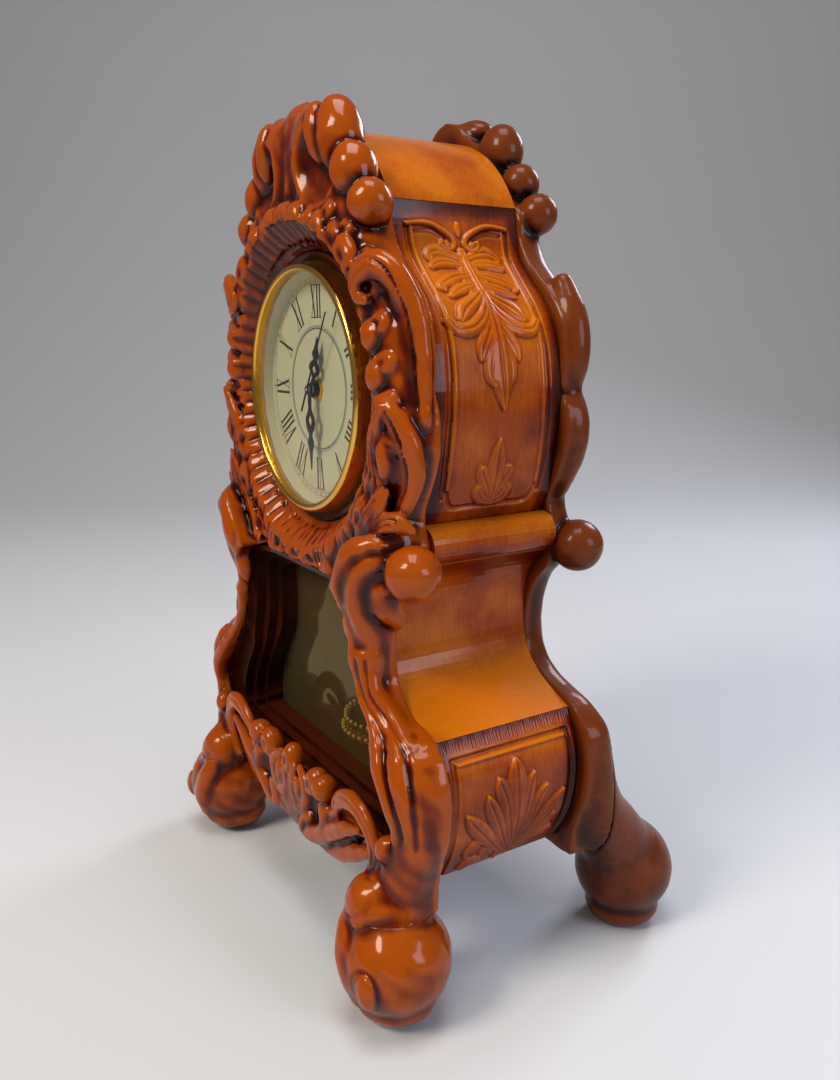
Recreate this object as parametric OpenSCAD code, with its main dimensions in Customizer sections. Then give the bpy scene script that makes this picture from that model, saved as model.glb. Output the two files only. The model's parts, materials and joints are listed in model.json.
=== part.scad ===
// Carved wooden mantel clock: round dial above, windowed base with a rotary pendulum below.
// Millimetres. The front faces -Y, +Z is up, the origin is on the floor under the footprint's middle.

/* [Case] */
// Height of the eaves, where the roof meets the side walls
eaves_z = 452; // [448:1:458]
// Rise of the roof arch above the eaves
roof_rise = 46; // [38:1:50]
// Thickness of the roof panel
roof_t = 10; // [8:1:12]
// Clear depth between the two carved frames
case_d = 85; // [84:1:100]
// Thickness of the side walls
wall = 12; // [10:1:14]
// Height of the case's underside above the floor
base_z = 75; // [72:1:78]
// Half width of the case at the eaves
eaves_x = 74; // [72:1:78]
// Half width of the upper side wall at its fullest
bombe_x = 119; // [116:1:122]
// Half width of the waist at its narrowest
waist_x = 89; // [86:1:92]
// Half width of the lower side wall at its fullest
belly_x = 143; // [140:1:146]
// Half width of the moulding at the waist
rail_x = 118; // [116:1:120]
// Thickness of the bottom board and of the inner shelf
board_t = 9; // [7:1:11]

/* [Carved frames] */
// Thickness of the front frame round the dial
front_t = 24; // [22:1:30]
// Thickness of the front frame's legs
leg_t = 28; // [24:1:32]
// How far the legs' back face stands in front of the dial's back face
leg_step = 12; // [10:1:14]
// Thickness of the rear frame
rear_t = 20; // [16:1:24]
// Height of the crest's middle leaf
crest_z = 512; // [508:1:518]
// How far the frames stand out past the side walls
lap = 3; // [2:1:5]
// Distance from the dial's recess to the middle of the shell ring
shell_step = 17; // [15:1:19]
// Radius of the shell ring's section
shell_roll = 12; // [10:1:13]
// How far the front legs swell past the rear ones at the waist
leg_swell = 6; // [4:1:8]
// Radius of the ball volutes at the waist
volute_r = 15.5; // [14:0.5:17]
// Height of the ball volutes' centres
volute_z = 257; // [254:1:260]
// How far the leaves on the side walls stand out
leaf_h = 2; // [1.5:0.5:3]

/* [Feet] */
// Half distance between a left and a right foot
foot_x = 128; // [122:1:134]
// Distance from the front feet to the rear feet
foot_span = 175; // [168:1:182]
// Radius of the ball feet
foot_r = 31.5; // [29:0.5:33]
// Height of a foot ball's centre
foot_z = 37; // [35:1:39]
// Radius of the pad under each foot
pad_r = 20; // [17:1:22]

/* [Dial] */
// Height of the dial's centre
dial_z = 347.8; // [345:0.2:350]
// Outer radius of the bezel
bezel_r = 75; // [73:0.5:76]
// How far the bezel stands in front of its seat
bezel_h = 14.5; // [12:0.5:17]
// Wall of the bezel
bezel_wall = 2.6; // [2.2:0.1:3.2]
// Width of the bezel's front ring
bezel_lip = 5.5; // [4.5:0.5:7]
// Depth of wood left behind the bezel's seat
seat_t = 8.5; // [6:0.5:10]
// Radius of the hole behind the dial
dial_hole_r = 56; // [50:1:60]
// Width of the recess round the bezel
recess_w = 7; // [5:0.5:9]
// Thickness of the dial plate
dial_t = 0.8; // [0.6:0.1:1.2]
// Thickness of the dial's glass
glass_t = 2; // [1.6:0.2:2.4]
// Rise of the domed glass
glass_dome = 4; // [2:0.5:6]

/* [Movement] */
// Side of the square movement box
box_w = 56; // [54:1:60]
// Depth of the movement box
box_d = 18; // [17.5:0.5:20]
// Wall of the movement box
box_wall = 1.6; // [1.2:0.2:2]
// Radius of the threaded stem that passes through the dial
stem_r = 4; // [3.6:0.2:4.4]
// Length of the stem in front of the dial's back
stem_l = 3.4; // [3:0.1:3.8]
// Length of the hour hand from its axis
hour_l = 33; // [28:1:38]
// Length of the minute hand from its axis
minute_l = 50; // [44:1:56]
// Length of the second hand from its axis
second_l = 54; // [48:1:58]
// Tooth module of the hand gears
gear_m = 0.5; // [0.46:0.02:0.52]

/* [Pendulum] */
// Room left between the pendulum drum's rim and each end of the case
drum_room = 6; // [5:0.5:8]
// Height of the drum's top face above the floor
drum_z = 121; // [116:1:126]
// Height of the drum's side
drum_h = 9; // [7:0.5:11]
// Radius of a rim bead
bead_r = 1.3; // [1:0.1:1.4]
// Number of beads round each rim
beads = 40; // [24:2:44]
// Radius of the hanging rod
rod_r = 1.5; // [1.2:0.1:2]

/* [Window] */
// Thickness of the inner window frame
window_t = 12; // [10:0.5:14]
// Thickness of the window pane
pane_t = 3; // [2:0.5:4]
// Half width of the window at its narrowest
window_x = 58; // [54:1:60]
// Half width of the window at its foot
window_foot_x = 92; // [88:1:94]
// Half width of the front frame's opening at its narrowest
reveal_x = 82; // [80:1:84]
// Half width of the front frame's opening at its foot
reveal_foot_x = 132; // [130:1:133]
// Depth of each of the two outer steps of the window's mouldings
reveal_step = 6.5; // [5:0.5:7]
// Height of the window sill
sill_z = 104; // [100:1:106]

/* [Back door] */
// Half width of the rear opening
door_x = 50; // [46:1:52]
// Lower end of the rear opening
door_z0 = 118; // [112:2:130]
// Upper end of the rear opening
door_z1 = 416; // [400:2:420]
// Thickness of the back door
door_t = 8; // [6:1:10]
// Length of each door hinge
hinge_l = 34; // [28:2:40]
// Radius of a hinge knuckle
knuckle_r = 3; // [2.6:0.2:3.4]
// Thickness of a hinge leaf
leaf_t = 1.2; // [1:0.1:1.6]
// Length of the turn catch
catch_l = 26; // [22:1:30]

/* [Fits] */
// Gap between pieces that are set into one another
gap = 0.3; // [0.2:0.05:0.5]
// Radial clearance of a running fit
run = 0.05; // [0.03:0.01:0.08]

/* [Hidden] */
$fn = 64;
wood = "peru";
dark_wood = "saddlebrown";
gold = "gold";
steps = 4;

// Planes across the depth; the seam is where the side walls meet the front frame
seam_y = -54.5;
leg_back_y = seam_y - leg_step;
leg_front_y = leg_back_y - leg_t;
front_y = seam_y - front_t;
rear_y = seam_y + case_d;
back_y = rear_y + rear_t;
seat_y = seam_y - seat_t;
foot_front_y = -foot_span / 2;
foot_back_y = foot_span / 2;

// Heights along the side wall
rail_z1 = 278;
rail_z0 = 255;
belly_z1 = 163;
crown_z = eaves_z + roof_rise;
rail_mid_z = (rail_z0 + rail_z1) / 2;

// Half widths where two pieces of the side wall meet
upper_foot_x = bombe_x - 14;
cove_top_x = rail_x - 9;
belly_top_x = belly_x - 10;
belly_foot_x = belly_x - 18;

// Radii round the dial
recess_r = bezel_r + recess_w;
shell_r = recess_r + shell_step;

// Half size of a cutting block that is larger than the case
far = 200;

// Smooth curve through a list of points, with equal steps between each two
function curve_at(a, b, c, d, t) = 0.5 * (2 * b + (c - a) * t + (2 * a - 5 * b + 4 * c - d) * t * t
    + (3 * b - a - 3 * c + d) * t * t * t);
function smooth(p, n = steps) = [for (i = [0 : len(p) - 2], k = [0 : n - 1])
    curve_at(p[max(i - 1, 0)], p[i], p[i + 1], p[min(i + 2, len(p) - 1)], k / n)];
function closed_end(p) = p[len(p) - 1];
function flipped(p) = [for (i = [len(p) - 1 : -1 : 0]) [-p[i][0], p[i][1]]];
function backwards(p) = [for (i = [len(p) - 1 : -1 : 0]) p[i]];
function shifted(p, dx) = [for (q = p) [q[0] + dx, q[1]]];
function arc(cx, cz, r, a0, a1, n = 12) = [for (i = [0 : n]) let (a = a0 + (a1 - a0) * i / n)
    [cx + r * cos(a), cz + r * sin(a)]];

// Outer lines of the side walls, from the top down
upper_line = [[eaves_x, eaves_z], [eaves_x + 2, 438], [eaves_x + 6, 424], [bombe_x - 28, 411],
    [bombe_x - 15, 397], [bombe_x - 5, 380], [bombe_x - 1, 361], [bombe_x, 340], [bombe_x - 3, 315],
    [bombe_x - 8, 294], [upper_foot_x, rail_z1]];
cove_line = [[cove_top_x, rail_z0], [waist_x + 7, 244], [waist_x + 1, 228], [waist_x, 208],
    [waist_x + 3, 193], [waist_x + 11, 181], [waist_x + 24, 172], [belly_top_x, belly_z1]];
belly_line = [[belly_top_x, belly_z1], [belly_x - 3, 148], [belly_x, 136], [belly_x, 121],
    [belly_x - 3, 105], [belly_x - 9, 90], [belly_foot_x, base_z]];

// Outer line of both carved frames, from under the crest down to the leg's end
foot_top_z = 66;
leg_out_x = foot_x + 19;
leg_in_x = foot_x - 20;
function frame_line(swell) = [[eaves_x + lap, eaves_z - 4], [eaves_x + lap + 2, 436],
    [eaves_x + lap + 9, 423],
    [bombe_x + lap - 27, 414], [bombe_x + lap - 14, 402], [bombe_x + lap - 4, 385], [bombe_x + lap - 1, 364],
    [bombe_x + lap - 2, 350], [bombe_x + lap + 2, 338], [bombe_x + lap + 2, 318], [bombe_x + lap - 5, 300],
    [bombe_x + lap - 13, 284], [rail_x - 4, 268], [rail_x - 6, 248], [waist_x + lap + 7 + swell, 234],
    [waist_x + lap + swell, 218], [waist_x + lap - 2 + swell, 203], [waist_x + lap + swell, 190],
    [waist_x + lap + 7 + swell, 180], [waist_x + lap + 22, 172], [belly_x + lap - 8, 164],
    [belly_x + lap + 2, 152], [belly_x + lap + 6, 138],
    [belly_x + lap + 6, 124], [belly_x + lap + 2, 110], [belly_x + lap - 1, 96], [leg_out_x + 1, 80],
    [leg_out_x, foot_top_z]];
crest_line = concat(between([[0, 1], [10, 0.95], [22, 0.8], [38, 0.63], [52, 0.37], [64, 0.13]],
    eaves_z, crest_z), [[eaves_x + lap, eaves_z - 4]]);
apron_line = [[leg_in_x, foot_top_z], [leg_in_x - 6, 82], [leg_in_x - 18, 84], [leg_in_x - 30, 72],
    [58, 62], [44, 52], [26, 47], [12, 42], [0, 40]];
window_head = 23;
window_top = rail_z0 - window_head;

// Turns a line of half widths and shares of a height into points between a foot and a head
function between(line, foot, head) = [for (p = line) [p[0], foot + p[1] * (head - foot)]];
window_line = between([[0, 1], [window_x / 2, 1], [window_x, 0.94], [window_x, 0.79], [window_x + 2, 0.64],
    [window_x + 8, 0.52], [window_x + 16, 0.41], [window_foot_x - 8, 0.3], [window_foot_x, 0.17],
    [window_foot_x, 0.05], [window_foot_x - 8, 0], [0, 0]], sill_z, window_top);

// Opening of the front frame, which the window's stepped mouldings fill
reveal_head = 8;
reveal_drop = 6;
reveal_line = between([[0, 1], [reveal_x / 2, 1], [reveal_x - 16, 0.99], [reveal_x - 4, 0.94],
    [reveal_x, 0.87], [reveal_x + 1, 0.73], [reveal_x + 10, 0.58], [reveal_x + 23, 0.47],
    [reveal_x + 34, 0.35], [reveal_foot_x - 3, 0.25], [reveal_foot_x, 0.11], [reveal_foot_x - 6, 0], [0, 0]],
    sill_z - reveal_drop, window_top + reveal_head);

// Upper edge of the legs' raised carving, which ends in a scroll under each volute
scroll_line = [[0, window_top - 20], [window_x + 8, window_top - 14], [window_x + 26, window_top + 2],
    [window_x + 40, window_top + 22], [window_x + 54, window_top + 38], [rail_x - 12, window_top + 44],
    [rail_x + 4, window_top + 38], [rail_x + 10, window_top + 20], [rail_x + 60, 0], [0, 0]];

// How deep the legs' carving and the shell ring are let into the frame
scroll_root = 4;
shell_sink = 6.5;

function half_frame(swell) = concat(smooth(crest_line), smooth(frame_line(swell)),
    [closed_end(frame_line(swell))], smooth(apron_line), [closed_end(apron_line)]);
function whole(p) = concat(p, flipped(p));

// Extrudes an outline in the XZ plane from depth y0 to depth y1
module slab(p, y0, y1) {
    translate([0, y1, 0]) rotate([90, 0, 0]) linear_extrude(y1 - y0) polygon(p);
}

// Cylinder or cone along Y from depth y0 to y1, centred on the dial's axis unless moved
module round_y(r, y0, y1, r2 = -1) {
    translate([0, y1, 0]) rotate([90, 0, 0]) cylinder(r1 = r2 < 0 ? r : r2, r2 = r, h = y1 - y0);
}

// Ring about the dial's axis, from a profile of [radius, depth] points
module ring_y(profile) {
    translate([0, 0, dial_z]) rotate([90, 0, 0]) rotate_extrude($fn = 96)
        polygon([for (p = profile) [p[0], -p[1]]]);
}

module at_dial() {
    translate([0, 0, dial_z]) children();
}

// Cutting blocks for everything above or below a height
module above(z) {
    translate([-far, -far, z]) cube([2 * far, 2 * far, 2 * far]);
}
module below(z) {
    translate([-far, -far, z - 2 * far]) cube([2 * far, 2 * far, 2 * far]);
}

module both_sides() {
    children();
    mirror([1, 0, 0]) children();
}

// Balls of the crest's scrolls: x, z, radius
crest_rise = crest_z - eaves_z;
crest_balls = [[42, eaves_z + 0.65 * crest_rise, 17], [60, eaves_z + 0.3 * crest_rise, 12.5],
    [eaves_x + 2, eaves_z, 12.5]];
crest_ball_y = seam_y - 13;
volute_x = rail_x + 6;
volute_y = leg_back_y - 5.5;
rear_ball_y = back_y - 4;
rear_ball_share = 0.9;
rear_volute_x = rail_x + 1;

module crest_knobs(y, r_share) {
    both_sides() for (b = crest_balls) translate([b[0], y, b[1]]) sphere(r = b[2] * r_share);
}
module volutes(x, y) {
    both_sides() translate([x, y, volute_z]) sphere(r = volute_r);
}

module front_frame() color(wood) difference() {
    union() {
        intersection() {
            slab(whole(half_frame(leg_swell)), front_y, seam_y);
            above(rail_z0);
        }
        intersection() {
            slab(whole(half_frame(leg_swell)), front_y, leg_back_y);
            below(rail_z0);
        }
        intersection() {
            slab(whole(half_frame(leg_swell)), leg_front_y, front_y + scroll_root);
            slab(whole(smooth(scroll_line, 3)), leg_front_y, front_y + scroll_root);
        }
        at_dial() translate([0, front_y + shell_sink, 0]) rotate([90, 0, 0])
            rotate_extrude($fn = 96) translate([shell_r, 0]) circle(r = shell_roll);
        crest_knobs(crest_ball_y, 1);
        volutes(volute_x, volute_y);
    }
    at_dial() round_y(dial_hole_r, front_y - 1, seam_y + 1);
    at_dial() round_y(recess_r, front_y - far, seat_y);
    slab(whole(smooth(reveal_line, 3)), leg_front_y - shell_roll, leg_back_y + 1);
    translate([-far, seam_y, rail_z1]) cube([2 * far, far, 2 * far]);
    translate([-reveal_x, leg_back_y, rail_z0 - far]) cube([2 * reveal_x, far, far]);
}

module rear_frame() color(dark_wood) difference() {
    union() {
        slab(whole(half_frame(0)), rear_y, back_y);
        crest_knobs(rear_ball_y, rear_ball_share);
        volutes(rear_volute_x, rear_ball_y);
    }
    translate([-door_x, rear_y - 1, door_z0]) cube([2 * door_x, rear_t + 2, door_z1 - door_z0]);
    catch_hole();
    frame_screw_holes();
}

// Ball foot on a round pad; the frame's leg ends on top of it
pad_flare = 5;
pad_rise = 12;
module foot_ball() {
    difference() {
        union() {
            translate([0, 0, foot_z]) sphere(r = foot_r);
            cylinder(r1 = pad_r, r2 = pad_r + pad_flare, h = foot_z - foot_r + pad_rise);
        }
        below(0);
    }
}

module front_foot() color(wood) difference() {
    translate([foot_x, foot_front_y, 0]) foot_ball();
    translate([foot_x - 2 * foot_r, leg_front_y, foot_top_z]) cube([4 * foot_r, leg_t, foot_r]);
}

// The rear leg sweeps back from the frame's lower end to its ball: x, y, z, radius
sweep = [[foot_x + 5, back_y - 10, 90, 21], [foot_x + 3, back_y + 9, 80, 22],
    [foot_x, foot_back_y - 6, foot_z + 12, 25]];
sweep_seat_z = foot_top_z - 12;
module rear_foot() color(dark_wood) difference() {
    union() {
        translate([foot_x, foot_back_y, 0]) foot_ball();
        for (i = [0, 1]) hull() for (k = [i, i + 1])
            translate([sweep[k][0], sweep[k][1], sweep[k][2]]) sphere(r = sweep[k][3], $fn = 32);
    }
    translate([foot_x - 2 * foot_r, back_y - far, sweep_seat_z]) cube([4 * foot_r, far, far]);
}

module front_right_foot() front_foot();
module front_left_foot() mirror([1, 0, 0]) front_foot();
module rear_right_foot() rear_foot();
module rear_left_foot() mirror([1, 0, 0]) rear_foot();

roof_r = (eaves_x * eaves_x + roof_rise * roof_rise) / (2 * roof_rise);
module roof_panel() color(wood) intersection() {
    translate([0, rear_y, crown_z - roof_r]) rotate([90, 0, 0]) difference() {
        cylinder(r = roof_r, h = case_d);
        translate([0, 0, -1]) cylinder(r = roof_r - roof_t, h = case_d + 2);
    }
    above(eaves_z);
}

// Side wall between an outer line and the same line moved inwards
module side_wall(line, y0) {
    outer = concat(smooth(line), [closed_end(line)]);
    slab(concat(outer, backwards(shifted(outer, -wall))), y0, rear_y);
}

// Leaves on the side walls, half of each outline: shares of the case's depth and of the wall's height
side_mid_y = seam_y + case_d / 2;
function leaf_line(shares, foot, head) = between([for (p = shares) [p[0] * case_d, p[1]]], foot, head);
plume_line = leaf_line([[0, 0.84], [0.26, 0.85], [0.28, 0.77], [0.3, 0.72], [0.25, 0.68], [0.34, 0.6],
    [0.22, 0.54], [0.09, 0.46], [0, 0.36]], rail_z1, eaves_z);
sprig_line = leaf_line([[0, 0.26], [0.05, 0.2], [0.05, 0.15], [0.12, 0.12], [0.11, 0.07], [0, 0.05]],
    rail_z1, eaves_z);
palmette_line = leaf_line([[0, 0.8], [0.16, 0.69], [0.26, 0.59], [0.38, 0.46], [0.36, 0.3], [0.2, 0.15],
    [0, 0.05]], base_z, belly_z1);

// Leaf raised on a side wall's outer line
module leaf_relief(line, leaf) {
    outer = concat(smooth(line), [closed_end(line)]);
    intersection() {
        slab(concat(shifted(outer, leaf_h), backwards(shifted(outer, -leaf_h))), seam_y, rear_y);
        translate([0, side_mid_y, 0]) rotate([90, 0, 90]) linear_extrude(far) polygon(whole(leaf));
    }
}

module upper_side() color(wood) union() {
    side_wall(upper_line, seam_y);
    leaf_relief(upper_line, plume_line);
    leaf_relief(upper_line, sprig_line);
}
module upper_right_side() upper_side();
module upper_left_side() mirror([1, 0, 0]) upper_side();

rail_in_x = upper_foot_x - wall;
rail_r = (rail_z1 - rail_z0) / 2 - 0.5;
module waist_rail() color(wood) slab(concat(
    [[rail_in_x, rail_z1], [upper_foot_x + 1, rail_z1]],
    arc(rail_x - rail_r, rail_mid_z, rail_r, 80, -80),
    [[cove_top_x, rail_z0], [rail_in_x, rail_z0]]), seam_y, rear_y);
module right_waist_rail() waist_rail();
module left_waist_rail() mirror([1, 0, 0]) waist_rail();

module waist_cove() color(wood) side_wall(cove_line, leg_back_y);
module right_waist_cove() waist_cove();
module left_waist_cove() mirror([1, 0, 0]) waist_cove();

module lower_side() color(wood) union() {
    side_wall(belly_line, leg_back_y);
    leaf_relief(belly_line, palmette_line);
}
module lower_right_side() lower_side();
module lower_left_side() mirror([1, 0, 0]) lower_side();

bottom_x = belly_foot_x - wall;
board_top_z = base_z + board_t;
board_flare = 3;
module bottom_board() color(dark_wood)
    slab([[-bottom_x, base_z], [bottom_x, base_z], [bottom_x + board_flare, board_top_z],
        [-bottom_x - board_flare, board_top_z]], leg_back_y, rear_y);

module inner_shelf() color(dark_wood)
    translate([-rail_in_x, seam_y, rail_z0]) cube([2 * rail_in_x, case_d, board_t]);

// Blocks glued into the corners between the bottom board and the frames
block_w = 14;
module glue_blocks() color(dark_wood) both_sides() for (y = [window_back_y, rear_y - block_w])
    translate([bottom_x - block_w - 2, y, board_top_z]) cube([block_w, block_w, block_w]);

window_back_y = leg_back_y + window_t;
inner_line = concat(
    [for (p = smooth(cove_line)) if (p[1] < rail_z0) [p[0] - wall, p[1]]],
    [for (p = smooth(belly_line)) if (p[1] > board_top_z) [p[0] - wall, p[1]]],
    [[bottom_x + board_flare, board_top_z]]);

// The window's mouldings step back in three layers: each shows at the sides, the sill and the head
side_steps = [4, 11, 18];
sill_steps = [2, -2, -5];
head_steps = [-3, 1, 5];
window_mid_z = (sill_z + window_top) / 2;
step_fade = 30;
function stepped(i) = [for (p = smooth(window_line, 3)) [p[0] + side_steps[i] * min(1, p[0] / step_fade),
    p[1] < window_mid_z ? p[1] + sill_steps[i] : p[1] + head_steps[i]]];
function reveal_fill() = [for (p = smooth(reveal_line, 3)) [p[0] < 1 ? 0 : p[0] - gap,
    p[1] < window_mid_z ? p[1] + gap : p[1] - gap]];
module window_frame() color(dark_wood) difference() {
    slab(whole(shifted(inner_line, -gap)), leg_back_y, window_back_y);
    slab(whole(stepped(0)), leg_back_y - 1, window_back_y + 1);
}
module moulding(i) color(dark_wood) difference() {
    slab(whole(reveal_fill()), leg_back_y - i * reveal_step, leg_back_y - (i - 1) * reveal_step);
    slab(whole(stepped(i)), leg_back_y - i * reveal_step - 1, leg_back_y + 1);
}
module inner_moulding() moulding(1);
module outer_moulding() moulding(2);

pane_x = window_foot_x + 4;
pane_neck_x = waist_x - wall - 4;
pane_neck_z = 176;
pane_slope = 32;
pane_lap = 8;
module window_pane() color("darkkhaki", 0.6)
    slab(whole([[0, window_top + pane_lap], [pane_neck_x, window_top + pane_lap], [pane_neck_x, pane_neck_z],
        [pane_x, pane_neck_z - pane_slope], [pane_x, sill_z - pane_lap], [0, sill_z - pane_lap]]),
        window_back_y, window_back_y + pane_t);

// Notched blocks that hold the pane against its frame
clip_w = 12;
clip_h = 8;
clip_grip = 3;
clip_heights = [100, 130];
module pane_clips() color(dark_wood) both_sides() for (z = clip_heights)
    translate([pane_x - clip_grip, window_back_y, z]) difference() {
        cube([clip_w, pane_t + clip_grip, clip_h]);
        translate([-1, -1, -1]) cube([clip_grip + 1 + gap, pane_t + 1, clip_h + 2]);
    }

// Dark bead round the bezel's foot
module recess_ring() color(dark_wood) ring_y([[bezel_r + gap, seat_y], [recess_r - gap, seat_y],
    [recess_r - gap, seat_y - 4], [recess_r - 2, seat_y - 5], [bezel_r + gap + 1, seat_y - 3],
    [bezel_r + gap, seat_y - 2]]);

bezel_y = seat_y - bezel_h;
bezel_in = bezel_r - bezel_wall;
lip_t = 1.8;
module bezel() color(gold) ring_y([[bezel_in, seat_y], [bezel_r, seat_y], [bezel_r, bezel_y + 1.5],
    [bezel_r - 1.5, bezel_y], [bezel_r - bezel_lip + 1, bezel_y], [bezel_r - bezel_lip, bezel_y + 0.8],
    [bezel_r - bezel_lip, bezel_y + lip_t], [bezel_in, bezel_y + lip_t]]);

// Domed glass, cut from two spheres and seated behind the bezel's lip
glass_r = bezel_in - 0.1;
dome_r = (glass_r * glass_r + glass_dome * glass_dome) / (2 * glass_dome);
glass_front_y = bezel_y + lip_t + gap;
function dome(y, n = 10) = [for (i = [0 : n]) let (r = glass_r * i / n)
    [r, y - glass_dome + dome_r - sqrt(dome_r * dome_r - r * r)]];
glass_sink = glass_dome * (1 - pow((bezel_r - bezel_lip) / glass_r, 2));
module dial_glass() color("lightgray", 0.3)
    ring_y(concat(dome(glass_front_y + glass_sink), backwards(dome(glass_front_y + glass_sink + glass_t))));

reflector_y = glass_front_y + glass_sink + glass_t + 0.1;
module reflector_ring() color("silver") ring_y([[bezel_in - 2.2, seat_y - dial_t],
    [bezel_in - 0.1, seat_y - dial_t], [bezel_in - 0.1, reflector_y], [bezel_in - 1, reflector_y]]);

module dial_plate() color("khaki") at_dial() difference() {
    round_y(bezel_in - 0.1, seat_y - dial_t, seat_y, $fn = 96);
    round_y(stem_r + run, seat_y - 5, seat_y + 1);
}

dial_face_y = seat_y - dial_t;
stem_y = seat_y - stem_l;
nut_h = 2;
module stem_nut() color(gold) at_dial() difference() {
    translate([0, dial_face_y, 0]) rotate([90, 0, 0]) cylinder(r = 7, h = nut_h, $fn = 6);
    round_y(stem_r + run, stem_y - 5, seat_y);
}

// Nested arbors, from the outermost to the innermost
hour_pipe_r = 2.6;
minute_pipe_r = 1.7;
second_pin_r = 0.75;
hour_hand_y = stem_y - 1.6;
minute_hand_y = hour_hand_y - 2.2;
second_hand_y = minute_hand_y - 1.8;
hand_t = 0.6;

// Serpentine hand: two bowed strips that meet at the tip, round a pierced middle
function hand_side(l, w) = smooth([[0, 0], [w * 0.35, l * 0.12], [w * 0.3, l * 0.24], [w, l * 0.36],
    [w * 0.8, l * 0.48], [w * 0.3, l * 0.56], [w * 0.65, l * 0.66], [w * 0.3, l * 0.78], [0.3, l]], 3);
module hand(l, w, hub_r, bore_r, y, angle) {
    at_dial() rotate([0, angle, 0]) difference() {
        union() {
            slab(concat(hand_side(l, w), [[0, l]], flipped(hand_side(l, w))), y, y + hand_t);
            round_y(hub_r, y, y + hand_t);
        }
        round_y(bore_r, y - 1, y + 2);
        slab([[0, l * 0.3], [w * 0.45, l * 0.38], [0, l * 0.47], [-w * 0.45, l * 0.38]], y - 1, y + 2);
    }
}
hour_angle = 15;
minute_angle = 180;
second_angle = 32;
second_tail = 16;
module hour_hand() color("black") hand(hour_l, 7, 5, hour_pipe_r, hour_hand_y, hour_angle);
module minute_hand() color("black") hand(minute_l, 6, 4, minute_pipe_r, minute_hand_y, minute_angle);
module second_hand() color("dimgray") at_dial() rotate([0, second_angle, 0]) difference() {
    union() {
        slab([[-0.7, -second_tail], [0.7, -second_tail], [0.35, second_l], [-0.35, second_l]],
            second_hand_y, second_hand_y + hand_t);
        round_y(2.4, second_hand_y, second_hand_y + hand_t);
    }
    round_y(second_pin_r, second_hand_y - 1, second_hand_y + 2);
}

// Movement box, closed by a back cover; its plates carry the arbors
box_y0 = seat_y;
box_y1 = box_y0 + box_d;
cover_y = box_y1 - box_wall;
box_in = box_w / 2 - box_wall;
pivot_r = 0.6;
pivot_l = 1;
cover_floor = box_y0 + box_wall - pivot_l - 0.1;

// Hand gearing: 12 to 36 teeth, then 10 to 40 teeth, which is one turn in twelve
motion_x = (12 + 36) * gear_m / 2;
motion_m = 2 * motion_x / (10 + 40);
gear_t = 1.2;
gear_y = box_y0 + box_wall + 0.3;
motion_y = gear_y + 2 * gear_t + 0.6;
motion_shaft_r = 1.2;

// Second-hand gearing: 8 to 48 teeth, then 10 to 50 teeth, which is one turn in thirty
train_m = 0.4;
idler_z = (10 + 50) * train_m / 2;
rotor_x = -(8 + 48) * train_m / 2;
second_y = motion_y + gear_t + 1.2;
idler_y = second_y + gear_t + 0.5;
rotor_magnet_r = 3.2;
rotor_y = idler_y + gear_t + 0.6;

module movement_front_case() color("dimgray") at_dial() difference() {
    union() {
        difference() {
            translate([-box_w / 2, box_y0, -box_w / 2]) cube([box_w, box_d - box_wall, box_w]);
            translate([-box_in, box_y0 + box_wall, -box_in]) cube([2 * box_in, box_d, 2 * box_in]);
        }
        round_y(stem_r, stem_y, box_y0 + 1);
    }
    round_y(hour_pipe_r + run, stem_y - 1, box_y0 + 4);
    translate([motion_x, 0, 0]) round_y(pivot_r + run, cover_floor, box_y0 + 4);
    translate([0, 0, idler_z]) round_y(pivot_r + run, cover_floor, box_y0 + 4);
    translate([rotor_x, 0, idler_z]) round_y(pivot_r + run, cover_floor, box_y0 + 4);
}

module movement_back_case() color("black") at_dial() difference() {
    translate([-box_w / 2, cover_y, -box_w / 2]) cube([box_w, box_wall, box_w]);
    translate([motion_x, 0, 0]) round_y(motion_shaft_r + run, cover_y - 1, box_y1 + 1);
    round_y(second_pin_r + run, cover_y - 1, cover_y + pivot_l + 0.1);
    translate([0, 0, idler_z]) round_y(pivot_r + run, cover_y - 1, cover_y + pivot_l + 0.1);
    translate([rotor_x, 0, idler_z]) round_y(pivot_r + run, cover_y - 1, cover_y + pivot_l + 0.1);
}

// Gear with straight-sided teeth; a tooth points at the angle turn, counted from +X towards +Z
function gear_line(n, m, turn) = let (ro = n * m / 2 + 0.8 * m, ri = n * m / 2 - 1.1 * m, a = 360 / n)
    [for (i = [0 : n - 1], k = [[-0.28, ri], [-0.1, ro], [0.1, ro], [0.28, ri]])
        [k[1] * cos(turn + (i + k[0]) * a), k[1] * sin(turn + (i + k[0]) * a)]];
module gear(n, m, y, turn = 0) slab(gear_line(n, m, turn), y, y + gear_t);

module hour_gear() color("ivory") at_dial() difference() {
    union() {
        gear(40, motion_m, gear_y);
        round_y(hour_pipe_r, hour_hand_y, gear_y + gear_t);
    }
    round_y(minute_pipe_r + run, hour_hand_y - 1, gear_y + gear_t + 1);
}

module motion_gear() color("ivory") translate([motion_x, 0, 0]) at_dial() union() {
    slab(gear_line(10, motion_m, 180 - 18), gear_y, motion_y);
    gear(36, gear_m, motion_y, 180 - 5);
    round_y(pivot_r, gear_y - 0.3 - pivot_l, gear_y);
    round_y(motion_shaft_r, motion_y + gear_t, box_y1 + 4);
}

module minute_gear() color("ivory") at_dial() difference() {
    union() {
        gear(12, gear_m, motion_y);
        round_y(minute_pipe_r, minute_hand_y, motion_y + gear_t);
    }
    round_y(second_pin_r + run, minute_hand_y - 1, motion_y + gear_t + 1);
}

module second_gear() color("ivory") at_dial() union() {
    gear(50, train_m, second_y, 90);
    round_y(second_pin_r, second_hand_y, second_y);
    round_y(second_pin_r, second_y + gear_t, cover_y + pivot_l);
}

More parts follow.
